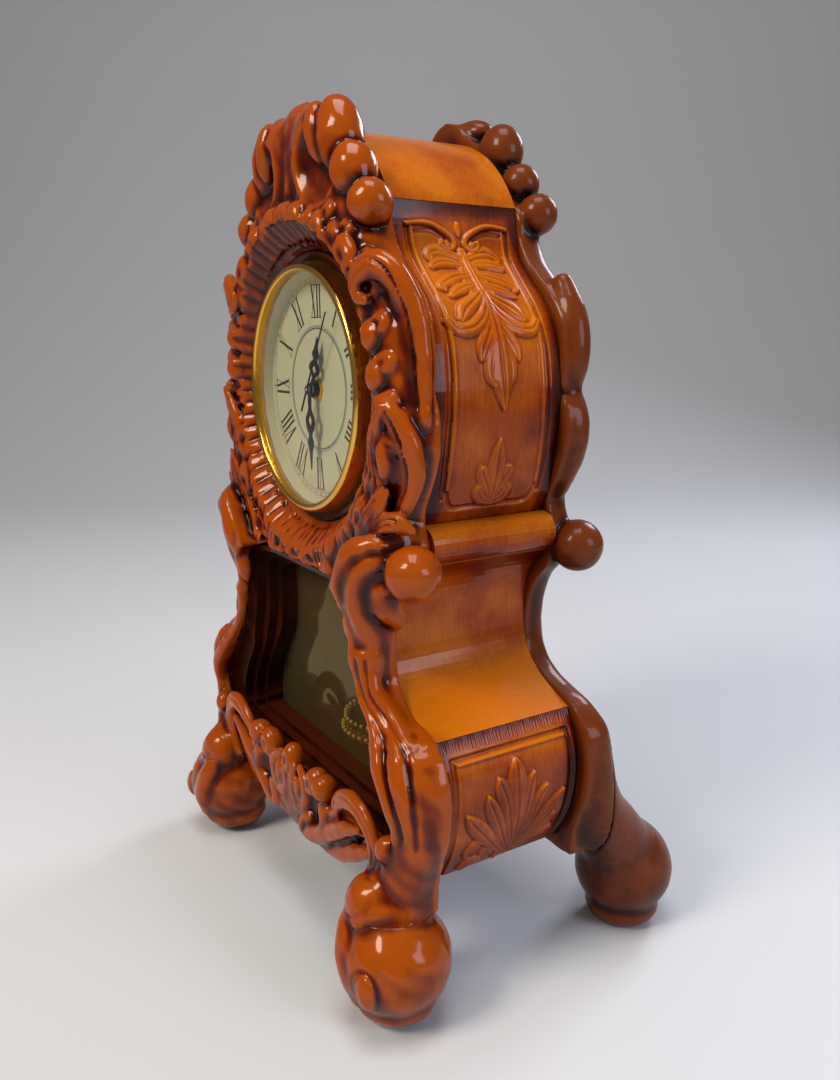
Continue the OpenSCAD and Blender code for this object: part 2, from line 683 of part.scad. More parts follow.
module idler_gear() color("ivory") at_dial() translate([0, 0, idler_z]) union() {
    slab(gear_line(10, train_m, -90 + 18), second_y, idler_y);
    gear(48, train_m, idler_y, 180);
    round_y(pivot_r, gear_y - 0.3 - pivot_l, second_y);
    round_y(pivot_r, idler_y + gear_t, cover_y + pivot_l);
}

module rotor() color("gray") at_dial() translate([rotor_x, 0, idler_z]) union() {
    gear(8, train_m, idler_y, 22.5);
    round_y(rotor_magnet_r, rotor_y, rotor_y + 2.4);
    round_y(pivot_r, gear_y - 0.3 - pivot_l, idler_y);
    round_y(pivot_r, idler_y + gear_t, rotor_y);
    round_y(pivot_r, rotor_y + 2.4, cover_y + pivot_l);
}

// Stator with two legs that hold the coil's core
coil_r = 3.2;
coil_z = box_in - 4.4;
coil_x0 = 3.4 - box_in;
coil_x1 = -8;
stator_z0 = 6;
stator_z1 = box_in - 1.4;
module stator() color("silver") at_dial() difference() {
    slab([[coil_x0 - 2, stator_z0], [coil_x1 + 2, stator_z0], [coil_x1 + 2, stator_z1], [coil_x1, stator_z1],
        [coil_x1, coil_z - 4.5], [coil_x0, coil_z - 4.5], [coil_x0, stator_z1], [coil_x0 - 2, stator_z1]],
        rotor_y + 0.7, rotor_y + 1.7);
    translate([rotor_x, 0, idler_z]) round_y(rotor_magnet_r + 0.5, rotor_y, rotor_y + 3);
}
module coil() color("orangered") at_dial() translate([coil_x0 + gap, rotor_y + 1.2, coil_z])
    rotate([0, 90, 0]) cylinder(r = coil_r, h = coil_x1 - coil_x0 - 2 * gap);

module circuit_board() color("green") at_dial()
    translate([8, box_y0 + box_wall + 0.1, 14]) cube([box_in - 9, 1, box_in - 15]);

battery_r = 7.1;
contact_w = 1.9;
battery_half = box_in - contact_w;
battery_y = (box_y0 + box_wall + cover_y) / 2;
battery_z = -box_in + battery_r + 0.3;
nub_r = 2.7;
nub_h = 1.2;
module battery() color("goldenrod") at_dial()
    translate([-battery_half, battery_y, battery_z]) rotate([0, 90, 0]) {
        cylinder(r = battery_r, h = 2 * battery_half - nub_h);
        cylinder(r = nub_r, h = 2 * battery_half);
    }
module battery_contacts() color("silver") at_dial() both_sides()
    translate([battery_half + gap, battery_y - 4, battery_z - 4]) cube([box_in - battery_half - gap, 8, 8]);

module set_knob() color("black") translate([motion_x, 0, 0]) at_dial() difference() {
    round_y(6, box_y1 + 0.4, box_y1 + 4.4);
    round_y(motion_shaft_r, box_y1, box_y1 + 4);
}

// Rotary pendulum: it hangs on a rod and turns about an upright axis
drum_shift = 1;
pendulum_y = seam_y + case_d / 2 + drum_shift;
drum_r = case_d / 2 - drum_room;
drive_h = 14;
drive_w = 40;
drive_d = 30;
drive_z = rail_z0 - drive_h;
socket_l = 8;
module pendulum_drive() color("black") difference() {
    translate([-drive_w / 2, pendulum_y - drive_d / 2, drive_z]) cube([drive_w, drive_d, drive_h]);
    translate([0, pendulum_y, drive_z - 1]) cylinder(r = rod_r + run, h = socket_l + 1);
}
drum_foot_z = drum_z - drum_h;
module pendulum_rod() color(gold) translate([0, pendulum_y, drum_foot_z])
    cylinder(r = rod_r, h = drive_z + socket_l - 1 - drum_foot_z);
rim_w = 3.2;
foot_w = 1.8;
hub_r = 6;
skirt_r = drum_r - 4;
neck_r = drum_r - 1.5;
mirror_t = 1;
module pendulum_drum() color(gold) translate([0, pendulum_y, 0]) difference() {
    rotate_extrude($fn = 96) polygon([[0, drum_z - mirror_t], [drum_r - rim_w, drum_z - mirror_t],
        [drum_r - rim_w, drum_z], [drum_r, drum_z], [drum_r, drum_z - 1], [neck_r, drum_z - 2],
        [neck_r, drum_foot_z + 1], [drum_r + foot_w, drum_foot_z + 1], [drum_r + foot_w, drum_foot_z],
        [skirt_r, drum_foot_z], [skirt_r, drum_z - 3], [hub_r, drum_z - 3], [hub_r, drum_foot_z],
        [0, drum_foot_z]]);
    translate([0, 0, drum_foot_z - 1]) cylinder(r = rod_r, h = drum_h + 2);
}
module drum_mirror() color("lightgreen") translate([0, pendulum_y, drum_z - mirror_t]) difference() {
    cylinder(r = drum_r - rim_w - gap, h = mirror_t, $fn = 96);
    translate([0, 0, -1]) cylinder(r = rod_r + gap, h = mirror_t + 2);
}
// Two rows of beads, on the drum's rim and on its foot
bead_lift = 0.1;
module drum_beads() color("white") translate([0, pendulum_y, 0]) for (i = [0 : beads - 1])
    rotate([0, 0, 360 * i / beads]) {
        translate([drum_r - bead_r, 0, drum_z + bead_r + bead_lift]) sphere(r = bead_r, $fn = 24);
        translate([drum_r + bead_r / 2, 0, drum_foot_z + 1 + bead_r + bead_lift])
            sphere(r = bead_r, $fn = 24);
    }

// Back door, hung on two butt hinges at +X and held by a turn catch at -X
hinge_y = back_y + knuckle_r + gap;
hinge_inset = 30;
hinge_z = [door_z0 + hinge_inset, door_z1 - hinge_inset - hinge_l];
knuckle_l = hinge_l / 3;
pin_r = 1.2;
leaf_w = 16;
screw_r = 1.2;
screw_x = 10;
screw_head_r = 2.4;
frame_screw_l = 12;
door_screw_l = door_t - 2;
module back_door() color(dark_wood) difference() {
    translate([-door_x + gap, back_y - door_t, door_z0 + gap])
        cube([2 * door_x - 2 * gap, door_t, door_z1 - door_z0 - 2 * gap]);
    at_screws(-1) round_y(screw_r, back_y - door_screw_l, back_y + 1);
}

// Puts its children at each of a leaf's screws; side is 1 for the frame and -1 for the door
module at_screws(side) {
    for (z = hinge_z, dz = [hinge_l * 0.2, hinge_l * 0.8])
        translate([door_x + side * screw_x, 0, z + dz]) children();
}
module screws(side, depth) at_screws(side) {
    round_y(screw_head_r, back_y + leaf_t, back_y + leaf_t + 1);
    round_y(screw_r, back_y - depth, back_y + leaf_t);
}
module frame_hinge_screws() color(gold) screws(1, frame_screw_l);
module door_hinge_screws() color(gold) screws(-1, door_screw_l);

module knuckle(z0, z1, bore) {
    translate([door_x, hinge_y, z0]) difference() {
        cylinder(r = knuckle_r, h = z1 - z0);
        translate([0, 0, -1]) cylinder(r = bore, h = z1 - z0 + 2);
    }
}
// One leaf per hinge: a plate with screw holes, tied to its knuckles
module leaf(z, side, spans, bore) difference() {
    union() {
        translate([side > 0 ? door_x + knuckle_r + gap : door_x - leaf_w, back_y, z])
            cube([leaf_w - knuckle_r - gap, leaf_t, hinge_l]);
        for (s = spans) {
            translate([side > 0 ? door_x : door_x - knuckle_r - 1, back_y, z + s[0]])
                cube([knuckle_r + 1, leaf_t, s[1] - s[0]]);
            knuckle(z + s[0], z + s[1], bore);
        }
    }
    at_screws(side) round_y(screw_r, back_y - 1, back_y + 2);
    for (s = spans) translate([door_x, hinge_y, z + s[0] - 1]) cylinder(r = bore, h = s[1] - s[0] + 2);
}
module frame_hinge_leaves() color(gold) for (z = hinge_z)
    leaf(z, 1, [[0, knuckle_l - gap / 2], [hinge_l - knuckle_l + gap / 2, hinge_l]], pin_r);
module door_hinge_leaves() color(gold) for (z = hinge_z)
    leaf(z, -1, [[knuckle_l + gap / 2, hinge_l - knuckle_l - gap / 2]], pin_r + run);
module hinge_pins() color("silver") for (z = hinge_z)
    translate([door_x, hinge_y, z]) cylinder(r = pin_r, h = hinge_l);

knob_z = (door_z0 + door_z1) / 2;
knob_inset = 22;
module door_knob() color(gold) translate([-door_x + knob_inset, back_y, knob_z]) rotate([-90, 0, 0])
    rotate_extrude() polygon([[0, 0], [5, 0], [4.5, 1.5], [2.5, 3], [2.5, 6], [6, 9], [6.5, 11],
        [5, 13.5], [0, 14.5]]);

// Turn catch: upright at rest, a quarter turn brings it over the door
catch_x = -door_x - 10;
catch_w = 8;
catch_t = 3;
catch_tail = 8;
catch_screw_r = 1.8;
catch_screw_l = 14;
module turn_catch() color(gold) translate([catch_x, 0, knob_z]) difference() {
    slab(concat(arc(0, catch_l - catch_tail - catch_w / 2, catch_w / 2, 0, 180),
        arc(0, -catch_tail + catch_w / 2, catch_w / 2, 180, 360)), back_y + gap, back_y + gap + catch_t);
    round_y(catch_screw_r + run, back_y - 1, back_y + catch_t + 2);
}
module catch_screw() color(gold) translate([catch_x, 0, knob_z]) {
    round_y(catch_screw_r, back_y - catch_screw_l, back_y + catch_t + 2 * gap);
    round_y(2 * catch_screw_r, back_y + catch_t + 2 * gap, back_y + catch_t + 2 * gap + 1.4);
}
module catch_hole() {
    translate([catch_x, 0, knob_z]) round_y(catch_screw_r, back_y - catch_screw_l, back_y + 1);
}
module frame_screw_holes() {
    at_screws(1) round_y(screw_r, back_y - frame_screw_l, back_y + 1);
}

front_frame();
rear_frame();
front_right_foot();
front_left_foot();
rear_right_foot();
rear_left_foot();
roof_panel();
upper_right_side();
upper_left_side();
right_waist_rail();
left_waist_rail();
right_waist_cove();
left_waist_cove();
lower_right_side();
lower_left_side();
bottom_board();
inner_shelf();
glue_blocks();
window_frame();
inner_moulding();
outer_moulding();
window_pane();
pane_clips();
recess_ring();
bezel();
dial_glass();
reflector_ring();
dial_plate();
stem_nut();
hour_hand();
minute_hand();
second_hand();
movement_front_case();
movement_back_case();
circuit_board();
stator();
coil();
rotor();
idler_gear();
second_gear();
minute_gear();
motion_gear();
hour_gear();
set_knob();
battery();
battery_contacts();
pendulum_drive();
pendulum_rod();
pendulum_drum();
drum_mirror();
drum_beads();
back_door();
door_knob();
frame_hinge_leaves();
door_hinge_leaves();
hinge_pins();
frame_hinge_screws();
door_hinge_screws();
turn_catch();
catch_screw();
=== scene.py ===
"""Dresses the carved wooden mantel clock: sculpted frames, relief panels, dial and studio."""
import json
import logging
import math
from dataclasses import dataclass, replace
from enum import Enum
from typing import Sequence

import bpy
import numpy as np
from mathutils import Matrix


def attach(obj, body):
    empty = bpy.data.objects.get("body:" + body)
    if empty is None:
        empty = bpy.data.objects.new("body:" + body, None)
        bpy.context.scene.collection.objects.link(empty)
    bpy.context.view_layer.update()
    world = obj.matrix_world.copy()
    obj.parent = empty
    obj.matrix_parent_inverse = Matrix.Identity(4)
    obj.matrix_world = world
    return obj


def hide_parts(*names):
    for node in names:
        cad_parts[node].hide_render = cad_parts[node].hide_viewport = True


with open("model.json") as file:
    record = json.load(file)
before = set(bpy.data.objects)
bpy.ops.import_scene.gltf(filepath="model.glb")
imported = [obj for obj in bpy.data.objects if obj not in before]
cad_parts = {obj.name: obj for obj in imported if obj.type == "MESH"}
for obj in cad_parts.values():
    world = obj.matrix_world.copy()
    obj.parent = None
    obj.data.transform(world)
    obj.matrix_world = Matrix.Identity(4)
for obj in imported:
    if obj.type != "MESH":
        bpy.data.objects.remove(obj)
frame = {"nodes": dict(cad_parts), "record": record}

import openvdb
from mathutils import Matrix, Vector

logging.basicConfig(level=logging.INFO, format="%(message)s")
log = logging.getLogger("clock")

Point = tuple[float, float, float]

MM = 0.001
# What the clay's samples hold far from any surface, in millimetres
FAR = 60.0
# Height of the dial's axis
DIAL_Z = 347.8
# Depths at which the front frame, its legs and the rear frame meet the case
FRONT_SEAM = -54.5
LEG_SEAM = -66.5
REAR_SEAM = 30.5
# A foot is trimmed at this X, since it is skinned without its mirror image
FOOT_INNER = 60.0
# Vertex attributes that drive the stain and the painted shade and highlight, with the radius of their blur in
# millimetres
SHADES = (("hollow", 9.0), ("edge", 3.5))
# Shares of the way to the neighbours' mean, forth and back, so that smoothing doesn't shrink
RELAX_SHARES = (0.55, -0.5)


class Side(Enum):
    """A side of the case, as the sign of X there."""

    RIGHT = 1
    LEFT = -1


class End(Enum):
    """An end of the case, as its nodes' names spell it."""

    FRONT = "front"
    REAR = "rear"


class Letter(Enum):
    """A letter of the numerals: its width, and its bars' left and right edges at the foot and at the head."""

    I = (3.2, ((0.8, 2.4, 0.8, 2.4),))
    V = (7.2, ((3.2, 4.5, 0.6, 2.3), (3.4, 4.0, 6.15, 6.7)))
    X = (7.2, ((4.9, 6.6, 0.6, 2.3), (0.8, 1.35, 5.85, 6.4)))


def linear(hex_code: str, alpha: float = 1.0) -> tuple[float, float, float, float]:
    """Turns an sRGB colour such as #b85a12 into linear values.

    Args:
        hex_code: The colour, with its leading #.
        alpha: The fourth value.

    Returns:
        Red, green, blue and alpha.
    """
    parts = [int(hex_code[i:i + 2], 16) / 255 for i in (1, 3, 5)]
    lit = [c / 12.92 if c <= 0.04045 else ((c + 0.055) / 1.055) ** 2.4 for c in parts]
    return (*lit, alpha)


def smooth_path(points: Sequence[Sequence[float]], steps: int = 5) -> np.ndarray:
    """Draws a smooth curve through a few points.

    Args:
        points: The points, with any number of columns.
        steps: Samples between each two points.

    Returns:
        The curve's samples, one row each.
    """
    p = np.array(points, np.float64)
    p = np.vstack([p[:1], p, p[-1:]])
    t = (np.arange(steps) / steps)[:, None]
    spans = []
    for a, b, c, d in zip(p[:-3], p[1:-2], p[2:-1], p[3:]):
        spans.append(0.5 * (2 * b + (c - a) * t + (2 * a - 5 * b + 4 * c - d) * t ** 2
                            + (3 * b - a - 3 * c + d) * t ** 3))
    return np.vstack([*spans, p[-1:]])


def repeats(size: float) -> float:
    """Turns a pattern's real size in millimetres into a texture's scale, which counts per metre."""
    return 1.0 / (size * MM)


def link(obj: bpy.types.Object) -> None:
    """Links an object to the scene."""
    bpy.context.scene.collection.objects.link(obj)


def from_axis(x: np.ndarray, z: np.ndarray) -> np.ndarray:
    """Returns how far places lie from the dial's axis."""
    return np.sqrt(x * x + (z - DIAL_Z) ** 2)


def smooth_min(a: np.ndarray, b: np.ndarray, blend: float) -> np.ndarray:
    """Joins two distance fields with a soft fillet of about the blend's width."""
    near = np.maximum(blend - np.abs(a - b), 0) / max(blend, 1e-6)
    return np.minimum(a, b) - near * near * (blend / 4)


def outline_distance(outline: np.ndarray, x: np.ndarray, z: np.ndarray) -> np.ndarray:
    """Measures a grid of places against a closed outline in the XZ plane.

    Args:
        outline: The outline's points, one row each.
        x: Places along X.
        z: Places along Z.

    Returns:
        Distances for each x and z, negative inside.
    """
    px, pz = x[:, None].astype(np.float32), z[None, :].astype(np.float32)
    best = np.full((len(x), len(z)), 1e9, np.float32)
    inside = np.zeros(best.shape, bool)
    for (ax, az), (bx, bz) in zip(outline, np.roll(outline, -1, axis=0)):
        ex, ez = bx - ax, bz - az
        t = np.clip(((px - ax) * ex + (pz - az) * ez) / max(ex * ex + ez * ez, 1e-9), 0, 1)
        best = np.minimum(best, (px - ax - t * ex) ** 2 + (pz - az - t * ez) ** 2)
        if az != bz:
            crosses = (az > pz) != (bz > pz)
            inside ^= crosses & (px < ax + (pz - az) * ex / ez)
    return np.where(inside, -np.sqrt(best), np.sqrt(best)).astype(np.float32)


class Shape:
    """A form that the clay measures."""

    def parts(self) -> list:
        """Returns the pieces that the clay measures one by one."""
        return [self]


@dataclass(frozen=True)
class Ball(Shape):
    """An ellipsoid, leaned in the XZ plane."""

    at: Point
    radii: Point
    lean: float = 0.0

    def span(self) -> tuple[np.ndarray, np.ndarray]:
        """Returns the lowest and highest corner that it can reach."""
        reach = max(self.radii)
        return np.array(self.at) - reach, np.array(self.at) + reach

    def distance(self, x: np.ndarray, y: np.ndarray, z: np.ndarray) -> np.ndarray:
        """Returns signed distances at a block of places."""
        c, s = math.cos(math.radians(self.lean)), math.sin(math.radians(self.lean))
        dx, dy, dz = x - self.at[0], y - self.at[1], z - self.at[2]
        dx, dz = c * dx - s * dz, s * dx + c * dz
        rx, ry, rz = self.radii
        near = np.sqrt((dx / rx) ** 2 + (dy / ry) ** 2 + (dz / rz) ** 2)
        slope = np.sqrt((dx / rx ** 2) ** 2 + (dy / ry ** 2) ** 2 + (dz / rz ** 2) ** 2)
        return near * (near - 1) / np.maximum(slope, 1e-6)


@dataclass(frozen=True)
class Link:
    """One tapered stretch of a roll."""

    start: tuple
    end: tuple
    flat: float

    def span(self) -> tuple[np.ndarray, np.ndarray]:
        """Returns the lowest and highest corner that it can reach."""
        a, b = np.array(self.start[:3]), np.array(self.end[:3])
        reach = max(self.start[3], self.end[3]) * max(1.0, self.flat)
        return np.minimum(a, b) - reach, np.maximum(a, b) + reach

    def distance(self, x: np.ndarray, y: np.ndarray, z: np.ndarray) -> np.ndarray:
        """Returns signed distances at a block of places."""
        ax, ay, az, ar = self.start
        bx, by, bz, br = self.end
        dy = (y - ay) / self.flat
        ex, ey, ez = bx - ax, (by - ay) / self.flat, bz - az
        long = max(ex * ex + ey * ey + ez * ez, 1e-9)
        t = np.clip(((x - ax) * ex + dy * ey + (z - az) * ez) / long, 0, 1)
        gap = np.sqrt((x - ax - t * ex) ** 2 + (dy - t * ey) ** 2 + (z - az - t * ez) ** 2)
        return gap - (ar + t * (br - ar))


@dataclass(frozen=True)
class Roll(Shape):
    """A round bar along a smooth path of x, y, z and radius; flat squeezes it in depth."""

    path: tuple
    flat: float = 1.0
    steps: int = 5

    def parts(self) -> list[Link]:
        """Returns the pieces that the clay measures one by one."""
        rows = [tuple(float(v) for v in row) for row in smooth_path(self.path, self.steps)]
        return [Link(a, b, self.flat) for a, b in zip(rows[:-1], rows[1:])]


@dataclass(frozen=True)
class Plate(Shape):
    """An outline in the XZ plane with a front and a back face and softened edges."""

    outline: tuple
    front: float
    back: float
    soft_front: float = 1.0
    soft_back: float = 0.5
    crown: float = 0.0
    crown_width: float = 20.0

    def span(self) -> tuple[np.ndarray, np.ndarray]:
        """Returns the lowest and highest corner that it can reach."""
        p = np.array(self.outline)
        return (np.array([p[:, 0].min(), self.front, p[:, 1].min()]),
                np.array([p[:, 0].max(), self.back, p[:, 1].max()]))

    def distance(self, x: np.ndarray, y: np.ndarray, z: np.ndarray) -> np.ndarray:
        """Returns signed distances at a block of places."""
        flat = outline_distance(np.array(self.outline), x.ravel(), z.ravel())[:, None, :]
        fall = self.crown * (1 - np.clip(-flat / self.crown_width, 0, 1)) ** 2
        result = -smooth_min(-flat, (y - self.front - fall) * (0.8 if self.crown else 1.0), self.soft_front)
        return -smooth_min(-result, self.back - y, self.soft_back)


@dataclass(frozen=True)
class Ruff(Shape):
    """The ring of folded lobes round the dial, as a roll whose section follows the folds."""

    radius: float
    depth: float
    thick: float
    lobes: int
    folds: int
    lobe_lift: float
    fold_lift: float
    side_shift: float

    def span(self) -> tuple[np.ndarray, np.ndarray]:
        """Returns the lowest and highest corner that it can reach."""
        reach = self.radius + self.thick + self.lobe_lift + 4
        return (np.array([-reach, self.depth - self.thick - 6, DIAL_Z - reach]),
                np.array([reach, self.depth + self.thick + 6, DIAL_Z + reach]))

    def distance(self, x: np.ndarray, y: np.ndarray, z: np.ndarray) -> np.ndarray:
        """Returns signed distances at a block of places."""
        angle = np.arctan2(z - DIAL_Z, x)
        reach = from_axis(x, z)
        middle = self.radius - self.side_shift * np.cos(angle) ** 4
        # The lobes sway unevenly and lean outwards, as hand carving does
        swirl = angle + 0.05 * np.sin(5 * angle + 0.6) + 0.03 * np.sin(11 * angle + 2)
        swirl = swirl + 0.0035 * (reach - middle)
        lobe = np.abs(np.cos(swirl * self.lobes / 2)) ** 0.5
        strength = 0.6 + 0.4 * np.sin(3.3 * angle + 1) * np.sin(7.1 * angle)
        fold = np.abs(np.cos(swirl * self.folds / 2)) ** 0.6
        depth = self.depth + 4.5 * np.cos(angle) ** 4
        out = np.sqrt((reach - middle - 2.2 * lobe) ** 2 + (y - depth) ** 2)
        thick = self.thick - 0.8 * np.cos(angle) ** 4
        return 0.75 * (out - thick - self.lobe_lift * (lobe - 0.6) - self.fold_lift * strength * (fold - 0.5))


class Clay:
    """Signed distances on a grid in millimetres, negative inside, shaped by pressing and cutting."""

    def __init__(self, low: Point, high: Point, step: float) -> None:
        """Makes an empty block.

        Args:
            low: Lowest corner.
            high: Highest corner.
            step: Distance between samples.
        """
        self.low = low
        self.step = step
        self.size = tuple(int(round((h - l) / step)) + 1 for l, h in zip(low, high))
        self.field = np.full(self.size, FAR, np.float32)

    def window(self, low: np.ndarray, high: np.ndarray) -> tuple[slice, ...]:
        """Returns the samples between two corners, as one slice for each axis."""
        axes = list(zip(low, high, self.low, self.size))
        first = [min(max(0, math.floor((a - o) / self.step)), n) for a, _, o, n in axes]
        last = [max(min(n, math.ceil((b - o) / self.step) + 1), 0) for _, b, o, n in axes]
        return tuple(slice(a, max(a, b)) for a, b in zip(first, last))

    def places(self, window: tuple[slice, ...]) -> tuple[np.ndarray, np.ndarray, np.ndarray]:
        """Returns X, Y and Z of a window's samples, ready to broadcast."""
        x, y, z = [(o + self.step * np.arange(s.start, s.stop)).astype(np.float32)
                   for o, s in zip(self.low, window)]
        return x[:, None, None], y[None, :, None], z[None, None, :]

    def grid(self) -> tuple[np.ndarray, np.ndarray, np.ndarray]:
        """Returns X, Y and Z of all samples, ready to broadcast."""
        return self.places(tuple(slice(0, n) for n in self.size))

    def measure(self, shape: Shape, pad: float) -> tuple[tuple[slice, ...], np.ndarray]:
        """Measures a shape in the smallest window that holds it.

        Args:
            shape: The shape.
            pad: Room left round the shape.

        Returns:
            The window and the distances in it.
        """
        parts = shape.parts()
        spans = [part.span() for part in parts]
        whole = self.window(np.min([s[0] for s in spans], axis=0) - pad,
                            np.max([s[1] for s in spans], axis=0) + pad)
        result = np.full([s.stop - s.start for s in whole], FAR, np.float32)
        for part, (low, high) in zip(parts, spans):
            small = self.window(low - pad, high + pad)
            if min(s.stop - s.start for s in small) == 0:
                continue
            local = tuple(slice(s.start - w.start, s.stop - w.start) for s, w in zip(small, whole))
            result[local] = np.minimum(result[local], part.distance(*self.places(small)))
        return whole, result

    def press(self, shape: Shape, blend: float = 2.0) -> None:
        """Adds a shape, with a fillet of about the blend's width."""
        window, found = self.measure(shape, blend + 2 * self.step)
        if found.size:
            self.field[window] = smooth_min(self.field[window], found, blend)

    def cut(self, shape: Shape, blend: float = 1.0) -> None:
        """Takes a shape away, with a softened rim."""
        window, found = self.measure(shape, blend + 2 * self.step)
        if found.size:
            self.field[window] = -smooth_min(-self.field[window], found, blend)

    def front(self) -> np.ndarray:
        """Returns the depth of the frontmost surface for each x and z; no surface gives the block's back."""
        solid = self.field < 0
        first = np.argmax(solid, axis=1)
        depth = self.low[1] + self.step * first.astype(np.float32)
        return np.where(solid.any(axis=1), depth, self.low[1] + self.step * (self.size[1] - 1))

    def drape(self, points: Sequence[Sequence[float]], sink: float, steps: int = 5) -> tuple:
        """Lays a path of x, z and radius on the front surface.

        Args:
            points: The path's few points.
            sink: How far the path lies behind the surface; negative stands in front.
            steps: Samples between each two points.

        Returns:
            Rows of x, y, z and radius.
        """
        depth = self.front()
        rows = smooth_path(points, steps)
        ix = np.clip(np.rint((np.abs(rows[:, 0]) - self.low[0]) / self.step).astype(int), 0, self.size[0] - 1)
        iz = np.clip(np.rint((rows[:, 1] - self.low[2]) / self.step).astype(int), 0, self.size[2] - 1)
        y = depth[ix, iz].astype(np.float64)
        kernel = np.array([0.25, 0.5, 0.25])
        # Nine passes bridge the grooves that the path crosses
        for _ in range(9):
            y = np.convolve(np.pad(y, 1, mode="edge"), kernel, "valid")
        return tuple(zip(rows[:, 0], y + sink, rows[:, 1], rows[:, 2]))

    def hollow(self, field: np.ndarray, reach: float) -> np.ndarray:
        """Blurs the solid, so that recesses read above zero and edges below.

        Args:
            field: The distances.
            reach: Radius of the blur in millimetres.

        Returns:
            The share of solid round each sample, less a half.
        """
        share = np.clip(0.5 - field / (2 * self.step), 0, 1)
        r = max(1, int(round(reach / self.step / 2)))
        for _ in range(2):
            for axis in range(3):
                pads = [(0, 0)] * 3
                pads[axis] = (r + 1, r)
                total = np.cumsum(np.pad(share, pads, mode="edge"), axis=axis, dtype=np.float32)
                count = share.shape[axis]
                high = np.take(total, np.arange(2 * r + 1, 2 * r + 1 + count), axis=axis)
                low = np.take(total, np.arange(0, count), axis=axis)
                share = (high - low) / (2 * r + 1)
        return share - 0.5

    def skin(self, name: str, keep: np.ndarray | None = None, mirrored: bool = True,
             relax: int = 2) -> bpy.types.Object:
        """Makes a mesh of the surface, with how hollow and how exposed it is at each vertex.

        Args:
            name: The object's name.
            keep: Another distance field that trims this one.
            mirrored: Whether the block's mirror image is joined on at X zero.
            relax: Number of smoothing passes.

        Returns:
            The new object.
        """
        field = self.field if keep is None else np.maximum(self.field, keep)
        shade = self.field
        low = np.array(self.low, np.float64)
        if mirrored:
            field = np.concatenate([field[:0:-1], field])
            shade = np.concatenate([shade[:0:-1], shade])
            low[0] = -self.low[0] - self.step * (self.size[0] - 1)
        grid = openvdb.FloatGrid(FAR)
        grid.copyFromArray(np.ascontiguousarray(np.clip(field, -FAR, FAR), dtype=np.float32))
        points, _, quads = grid.convertToPolygons(0.0, 0.0)
        points = relaxed(points.astype(np.float64), quads, relax)
        obj = mesh_object(name, (points * self.step + low) * MM, quads[:, ::-1])
        for label, reach in SHADES:
            values = sampled(self.hollow(shade, reach), points)
            obj.data.attributes.new(label, "FLOAT", "POINT").data.foreach_set("value", values)
        log.info("%s: %d quads", name, len(quads))
        return obj


def relaxed(points: np.ndarray, quads: np.ndarray, passes: int) -> np.ndarray:
    """Moves each vertex towards its neighbours' mean, and part of the way back.

    Args:
        points: The vertices.
        quads: Their indices, four a face.
        passes: Number of passes.

    Returns:
        The moved vertices.
    """
    start = np.concatenate([quads[:, k] for k in range(4)])
    ends = [np.concatenate([quads[:, (k + s) % 4] for k in range(4)]) for s in (1, 3)]
    count = np.maximum(2 * np.bincount(start, minlength=len(points)), 1)[:, None]
    for share in RELAX_SHARES * passes:
        total = np.stack([
            sum(np.bincount(start, weights=points[e, k], minlength=len(points)) for e in ends)
            for k in range(3)], axis=1)
        points = points + share * (total / count - points)
    return points


def sampled(block: np.ndarray, points: np.ndarray) -> np.ndarray:
    """Reads a block of values at places between its samples."""
    base = np.floor(points).astype(int)
    part = (points - base).astype(np.float32)
    result = np.zeros(len(points), np.float32)
    limit = np.array(block.shape) - 1
    for corner in np.ndindex(2, 2, 2):
        at = np.clip(base + corner, 0, limit)
        weight = np.prod(np.where(np.array(corner) == 1, part, 1 - part), axis=1)
        result += weight * block[at[:, 0], at[:, 1], at[:, 2]]
    return result


def mesh_object(name: str, points: np.ndarray,
                faces: np.ndarray | Sequence[Sequence[int]]) -> bpy.types.Object:
    """Makes a smooth-shaded mesh object.

    Args:
        name: The object's name.
        points: The vertices in metres.
        faces: Indices: an array with one row a face, or lists of any length.

    Returns:
        The new object, linked to the scene.
    """
    mesh = bpy.data.meshes.new(name)
    if isinstance(faces, np.ndarray):
        wide = faces.shape[1]
        mesh.vertices.add(len(points))
        mesh.vertices.foreach_set("co", np.ascontiguousarray(points, np.float32).ravel())
        mesh.loops.add(faces.size)
        mesh.loops.foreach_set("vertex_index", np.ascontiguousarray(faces, np.int32).ravel())
        mesh.polygons.add(len(faces))
        mesh.polygons.foreach_set("loop_start", np.arange(0, faces.size, wide, dtype=np.int32))
        mesh.update(calc_edges=True)
    else:
        mesh.from_pydata([tuple(p) for p in points], [], [tuple(f) for f in faces])
    mesh.polygons.foreach_set("use_smooth", np.ones(len(mesh.polygons), bool))
    mesh.validate()
    obj = bpy.data.objects.new(name, mesh)
    link(obj)
    return obj


def add_node(tree: bpy.types.NodeTree, kind: str, inputs: dict | None = None,
             **settings: object) -> bpy.types.Node:
    """Adds one node with its settings and links.

    Args:
        tree: The node tree.
        kind: The node's type name.
        inputs: For each input name or index, a value or the socket to link from.
        **settings: Fields of the node itself.

    Returns:
        The new node.
    """
    made = tree.nodes.new(kind)
    for key, value in settings.items():
        setattr(made, key, value)
    for key, value in (inputs or {}).items():
        if isinstance(value, bpy.types.NodeSocket):
            tree.links.new(value, made.inputs[key])
        else:
            made.inputs[key].default_value = value
    return made


def new_material(name: str) -> tuple[bpy.types.Material, bpy.types.NodeTree, bpy.types.Node]:
    """Makes a material with one principled shader.

    Args:
        name: The material's name.

    Returns:
        The material, its tree and the shader.
    """
    made = bpy.data.materials.new(name)
    made.use_nodes = True
    made.node_tree.nodes.clear()
    shader = add_node(made.node_tree, "ShaderNodeBsdfPrincipled")
    add_node(made.node_tree, "ShaderNodeOutputMaterial", {"Surface": shader.outputs["BSDF"]})
    return made, made.node_tree, shader


